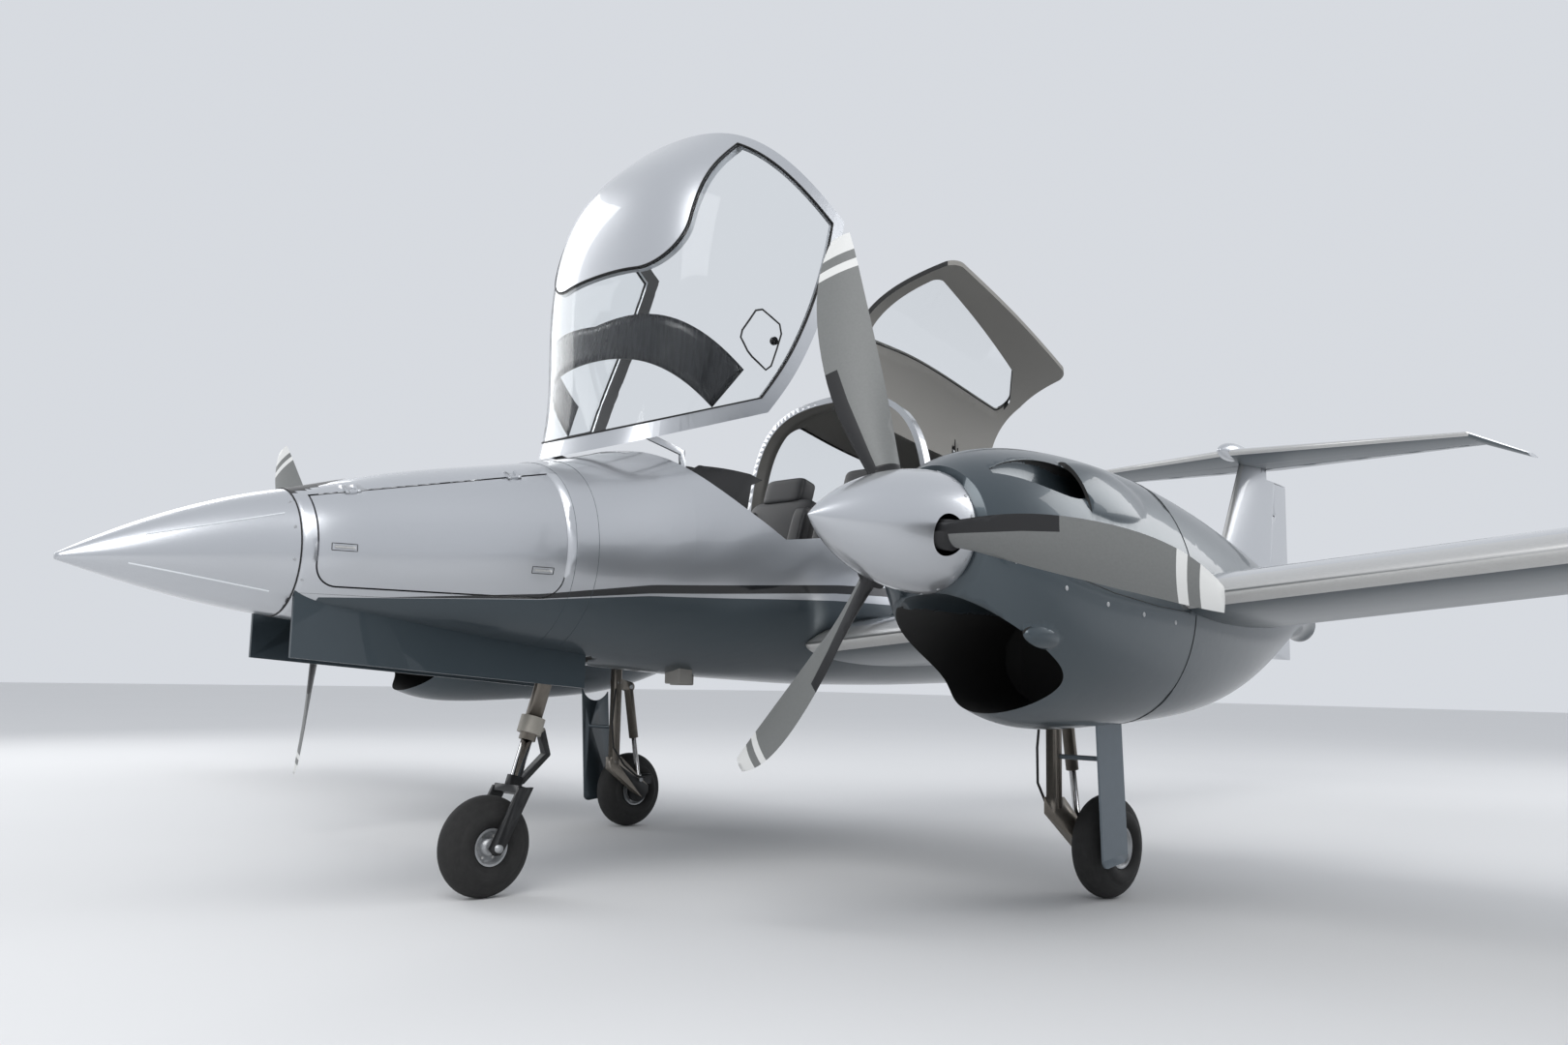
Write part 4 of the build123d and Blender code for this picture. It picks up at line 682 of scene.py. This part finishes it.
skin("nose_fork", [forged, chrome, collar, alloy], fork_rule)
skin("nose_leg", [bronze])
for name, centre, radius, half in (
    ("nose_tyre", (0, at(1.445), 0.178), 0.178, 0.061),
    ("main_tyre_left", (1.43, at(3.229), 0.19), 0.19, 0.075),
    ("main_tyre_right", (-1.43, at(3.229), 0.19), 0.19, 0.075),
):
    skin(name, [rubber_of(f"{name}_rubber", centre, radius, half)])
for name in ("nose_wheel", "main_wheel_left", "main_wheel_right"):
    skin(name, [alloy])
for side, name in ((1, "left"), (-1, "right")):
    def leg_rule(centre, normal):
        """Bronze leg, chrome shock rod, dark brake."""
        from_foot = math.hypot(centre.y - at(3.205), centre.z - 0.25)
        from_rod = centre.y - at(3.12) - (0.73 - centre.z) * 0.178
        beside_rod = -0.016 < from_rod < 0.016 and abs(normal.x) < 0.98
        if beside_rod and 0.245 < centre.z < 0.47 and centre.y > at(3.10) and from_foot < 0.24:
            return 1
        from_axle = math.hypot(centre.y - at(3.229), centre.z - 0.19)
        if from_axle < 0.075 or centre.z > 0.19 and centre.y > at(3.2):
            return 2
        return 0

    skin(f"main_leg_{name}", [bronze, chrome, forged], leg_rule)

skin("instrument_panel", [black], shrink=0.007)

# Details of the nose
nose = tree_of("nose_cone", "nose_section", "baggage_door_left", "baggage_door_right")


def side_line(tree, side, rows, steps=8, lift=0.0006, reach=2.5):
    """Points on the outside of a tree along rows of station and height, seen from one side."""
    run = []
    for (s0, z0), (s1, z1) in zip(rows, rows[1:]):
        for step in range(steps):
            share = step / steps
            origin = (side * reach, at(s0 + share * (s1 - s0)), z0 + share * (z1 - z0))
            point = hit(tree, origin, (-side, 0, 0), lift)
            if point:
                run.append(point)
    last = hit(tree, (side * reach, at(rows[-1][0]), rows[-1][1]), (-side, 0, 0), lift)
    return run + ([last] if last else [])


def ring_line(tree, station, middle, low=0, high=360, x=0, lift=0.0006, reach=1.2, steps=60):
    """Points round a tree at a station."""
    run = []
    for step in range(steps + 1):
        turn = math.radians(low + (high - low) * step / steps)
        way = Vector((math.cos(turn), 0, math.sin(turn)))
        point = hit(tree, Vector((x, at(station), middle)) + way * reach, -way, lift)
        if point:
            run.append(point)
    return run


lines("radome_seam", [ring_line(nose, 0.626, 1.15)], 0.0022, seal, "airframe")
lines("section_seams", [ring_line(nose, s, 1.2, -60, 240) for s in (1.512, 1.60)], 0.0007, slate, "airframe")
lines("radome_strips", [side_line(nose, side, rows, lift=0.0) for side in (-1, 1)
                        for rows in (((0.21, 1.165), (0.585, 1.262)), ((0.17, 1.078), (0.56, 1.02)))],
      0.0028, light_pane, "airframe")
screws = []
for side in (-1, 1):
    for station, height in ((0.61, 1.30), (0.61, 1.12), (0.61, 1.22), (0.641, 1.06)):
        place = hit(nose, (side * 2, at(station), height), (-side, 0, 0))
        if place:
            screws.append((place, (side, 0, 0.2)))
strewn("radome_screws", screws, 0.0055, 0.0012, alloy, "airframe")

for side, name in ((1, "left"), (-1, "right")):
    latch_tree = tree_of(f"baggage_door_{name}")
    plates, bolts, frames_run = [], [], []
    for station, height in ((0.745, 1.165), (1.395, 1.135)):
        corners_run = [(station - 0.038, height - 0.011), (station + 0.038, height - 0.011),
                       (station + 0.038, height + 0.011), (station - 0.038, height + 0.011),
                       (station - 0.038, height - 0.011)]
        frames_run.append(side_line(latch_tree, side, corners_run, 5, 0.0008))
        lever = ((station - 0.030, height), (station + 0.022, height))
        plates.append(side_line(latch_tree, side, lever, 6, 0.0005))
        place = hit(latch_tree, (side * 2, at(station + 0.027), height), (-side, 0, 0))
        bolts.append((place, (side, 0, 0.25)))
    lines(f"latch_frames_{name}", frames_run, 0.0012, seal, body_of(f"baggage_door_{name}"))
    lines(f"latch_levers_{name}", plates, 0.0045, bare, body_of(f"baggage_door_{name}"))
    strewn(f"latch_locks_{name}", bolts, 0.006, 0.0015, bare, body_of(f"baggage_door_{name}"))

# Canopy: dark arch inside with painted reflection streaks, vent window, handle
closing = Matrix.Rotation(-canopy_open, 4, "X")
shut = Matrix.Translation(canopy_hinge) @ closing @ Matrix.Translation(-canopy_hinge)
opened = shut.inverted()
canopy_tree = tree_of("canopy_frame", "canopy_glass", move=shut)
arch_points, arch_faces = [], []
around, wide = 48, 5
for step in range(around + 1):
    turn = math.radians(12 + 156 * step / around)
    way = Vector((math.cos(turn), 0, math.sin(turn)))
    for lane in range(wide + 1):
        share = lane / wide
        station = 2.25 + 0.10 * math.sin(turn) * 0.3 + (0.13 + 0.05 * abs(math.cos(turn))) * share
        inner = hit(canopy_tree, (0, at(station), 1.40), way)
        if inner is None:
            inner = Vector((0, at(station), 1.40)) + way * 0.5
        arch_points.append(opened @ (inner - way * 0.007))
for step in range(around):
    for lane in range(wide):
        a = step * (wide + 1) + lane
        arch_faces.append((a, a + 1, a + wide + 2, a + wide + 1))
arch = new_mesh("canopy_arch", arch_points, arch_faces, arch_painted_reflections, "canopy")
arch.modifiers.new("thickness", "SOLIDIFY").thickness = 0.006

vent_corners = ((0.556, 2.508, 1.625), (0.588, 2.643, 1.641), (0.606, 2.662, 1.511), (0.574, 2.490, 1.437),
                (0.562, 2.482, 1.547))
vent = [Vector((x, at(station), z)) for x, station, z in vent_corners]
vent_run = []
for first, second in zip(vent, vent[1:] + vent[:1]):
    for share in (0.15, 0.5, 0.85):
        point = first.lerp(second, share)
        outer = hit(canopy_tree, (1.5, point.y, point.z), (-1, 0, 0), 0.0)
        vent_run.append(opened @ (outer if outer else point))
lines("vent_seal", [vent_run], 0.004, seal, "canopy", closed=True)
knob = hit(canopy_tree, (1.5, at(2.60), 1.50), (-1, 0, 0), -0.014)
if knob:
    strewn("vent_knob", [(opened @ knob, (-1, 0, 0))], 0.016, 0.012, black, "canopy", 20)

# Red handle inside the rear door
door_tree = tree_of("rear_door")
handle_bends = ((-0.05, 0.05), (-0.02, 0.02), (0.02, 0.0), (0.05, -0.05))
handle_place = hit(door_tree, (door_reach + 0.3, at(4.30), 2.62), (-1, 0, 0), 0.02)
if handle_place:
    handle = [handle_place + Vector((0, y, z)) for y, z in handle_bends]
    lines("door_handle", [handle], 0.008, red, "rear_door")

# Propellers and nacelles
for side, name in ((1, "left"), (-1, "right")):
    spinner_tree = tree_of(f"spinner_{name}")
    heads = []
    for step in range(18):
        turn = 2 * math.pi * (step + 0.5) / 18
        way = Vector((math.cos(turn), 0, math.sin(turn)))
        axis_place = Vector((side * engine_x, at(1.725), thrust_height))
        place = hit(spinner_tree, axis_place + way * 0.4, -way)
        if place and (place - axis_place).length > 0.15:
            heads.append((place, way))
    strewn(f"spinner_screws_{name}", heads, 0.0055, 0.0012, alloy, f"propeller_{name}")

    cowl_tree = tree_of(f"cowl_{name}", f"nacelle_{name}")
    seam_rows = ((1.80, 1.15), (2.00, 1.10), (2.25, 1.055), (2.50, 1.03), (2.755, 1.02))
    panel = ((2.33, 1.20), (2.33, 1.085), (2.35, 1.065), (2.46, 1.065), (2.48, 1.085), (2.48, 1.20),
             (2.46, 1.22), (2.35, 1.22), (2.33, 1.20))
    runs = []
    for rows in (seam_rows, panel):
        for flank in (1, -1):
            run = []
            for (s0, z0), (s1, z1) in zip(rows, rows[1:]):
                for step in range(6):
                    share = step / 6
                    station, height = s0 + share * (s1 - s0), z0 + share * (z1 - z0)
                    origin = (side * engine_x + flank * 0.6, at(station), height)
                    point = hit(cowl_tree, origin, (-flank, 0, 0), 0.0002)
                    if point:
                        run.append(point)
            if rows is seam_rows or flank == side:
                runs.append(run)
    runs.append(ring_line(cowl_tree, 2.76, 1.08, x=side * engine_x, reach=0.6, steps=90))
    lines(f"cowl_seams_{name}", runs, 0.0012, seal, "airframe")
    heads = []
    for station, height in ((2.02, 1.055), (2.22, 1.02), (2.42, 1.0), (2.62, 0.985), (2.345, 1.20),
                            (2.345, 1.09), (2.465, 1.20), (2.465, 1.09), (1.84, 1.12), (2.60, 1.14),
                            (2.70, 1.20)):
        for flank in (1, -1):
            place = hit(cowl_tree, (side * engine_x + flank * 0.6, at(station), height), (-flank, 0, 0))
            if place:
                heads.append((place, (flank, 0, 0)))
    strewn(f"cowl_locks_{name}", heads, 0.0075, 0.0012, alloy, "airframe")

# Brake hoses and bolts of the gear
for side, name in ((1, "left"), (-1, "right")):
    leg_x = side * (1.43 - 0.075 - 0.012 - 0.022)
    hose_bends = ((0.035, 3.01, 0.72), (0.04, 2.99, 0.55), (0.045, 3.0, 0.42), (0.05, 3.07, 0.33),
                  (0.045, 3.16, 0.27), (0.03, 3.225, 0.26))
    hose = [(leg_x - side * inboard, at(station), height) for inboard, station, height in hose_bends]
    lines(f"brake_hose_{name}", [hose], 0.005, seal, "airframe")
    bolts = [((leg_x - side * 0.023, at(station), height), (-side, 0, 0))
             for station, height in ((3.04, 0.345), (3.205, 0.25), (3.12, 0.73), (3.04, 0.75))]
    strewn(f"leg_bolts_{name}", bolts, 0.013, 0.005, alloy, "airframe", 6)
wheel_bolts = []
for wheel, place, radius, out in (("nose_wheel", (0, at(1.445), 0.178), 0.042, 0.024),
                                  ("main_wheel_left", (1.43, at(3.229), 0.19), 0.048, 0.036),
                                  ("main_wheel_right", (-1.43, at(3.229), 0.19), 0.048, 0.036)):
    bolts = []
    for flank in (1, -1):
        for step in range(6):
            turn = math.tau * step / 6
            offset = Vector((flank * (out - 0.002), radius * math.cos(turn), radius * math.sin(turn)))
            bolts.append((Vector(place) + offset, (flank, 0, 0)))
    strewn(f"{wheel}_bolts", bolts, 0.006, 0.004, bare, body_of(wheel), 6)


# Seats
def pad(name, centre, size, lean, finish, body, square=0.32, crown=0.0):
    """Padded block with pulled-in sides: a squared oval turned about X by a lean."""
    points, faces = [], []
    rings, sides = 22, 44

    def squared(value):
        return math.copysign(abs(value) ** square, value)

    spin = Matrix.Rotation(lean, 3, "X")
    for ring in range(rings + 1):
        tilt = math.pi * (ring / rings - 0.5)
        for step in range(sides):
            turn = math.tau * step / sides
            x = size[0] / 2 * squared(math.cos(tilt)) * squared(math.cos(turn))
            y = size[1] / 2 * squared(math.cos(tilt)) * squared(math.sin(turn))
            z = size[2] / 2 * squared(math.sin(tilt))
            swell = crown * math.cos(math.pi * x / size[0]) * math.cos(math.pi * z / size[2])
            points.append(Vector(centre) + spin @ Vector((x, y * (1 + swell), z)))
    for ring in range(rings):
        for step in range(sides):
            a = ring * sides + step
            b = ring * sides + (step + 1) % sides
            faces.append((a, b, b + sides, a + sides))
    made = new_mesh(name, points, faces, finish, body, sharp=80)
    return made


seats = (("seat_front_left", 0.255, 2.56, 0.44), ("seat_front_right", -0.255, 2.56, 0.44),
         ("seat_rear", 0.0, 3.52, 0.80))
for name, x, station, width in seats:
    cushion = pad(f"{name}_cushion", (x, at(station + 0.26), 1.145), (width, 0.52, 0.17), math.radians(-5),
                  leather, body_of(name))
    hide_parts(name)
    places = [x] if width < 0.6 else [-0.2, 0.2]
    lean = math.radians(-17)
    for index, middle in enumerate(places):
        half = width if width < 0.6 else 0.40
        pad(f"{name}_back_{index}", (middle, at(station + 0.575), 1.385), (half, 0.115, 0.50), lean, leather,
            body_of(name), crown=0.25)
        for flank, letter in ((-1, "a"), (1, "b")):
            beside = middle + flank * (half / 2 - 0.045)
            pad(f"{name}_bolster_{index}_{letter}", (beside, at(station + 0.545), 1.37), (0.085, 0.13, 0.42),
                lean, leather, body_of(name))
        pad(f"{name}_head_{index}", (middle, at(station + 0.65), 1.665), (0.26, 0.10, 0.13), lean, leather,
            body_of(name))
        seam = [(middle, at(station + 0.517 + 0.06 * share), 1.22 + 0.32 * share)
                for share in np.linspace(0, 1, 8)]
        lines(f"{name}_seam_{index}", [seam], 0.0018, stitch, body_of(name))

# Screens on the rear face of the instrument panel
panel_tree = tree_of("instrument_panel")
for index, x in enumerate((-0.21, 0.13)):
    points = []
    for dx, z in ((0, 1.30), (0.27, 1.30), (0.27, 1.47), (0, 1.47)):
        place = hit(panel_tree, (x + dx, at(2.8), z), (0, -1, 0), 0.002)
        points.append(place if place else Vector((x + dx, at(2.3), z)))
    new_mesh(f"screen_{index}", points, [(0, 1, 2, 3)], screen, "airframe", smooth=False)
    lines(f"screen_rim_{index}", [points + points[:1]], 0.004, black, "airframe")

# Probe and belly boxes under the fuselage
belly = tree_of("cabin_section", "nose_section")
probe_top = hit(belly, (0.12, at(2.95), 0.3), (0, 0, 1), -0.004)
if probe_top:
    x, y, z = probe_top
    probe = [(x, y, z), (x, y, z - 0.10), (x, y - 0.008, z - 0.112), (x, y - 0.06, z - 0.115)]
    lines("belly_probe", [probe], 0.006, forged, "airframe")
belly_boxes = ((0.10, 2.24, 0.09, 0.07, 0.07), (-0.02, 2.36, 0.05, 0.09, 0.06))
for index, (x, station, wide_, deep, tall) in enumerate(belly_boxes):
    top = hit(belly, (x, at(station), 0.3), (0, 0, 1), -0.01)
    if top:
        middle = top - Vector((0, 0, tall / 2 - 0.012))
        pad(f"belly_box_{index}", middle, (wide_, deep, tall), 0, liner, "airframe", 0.12)
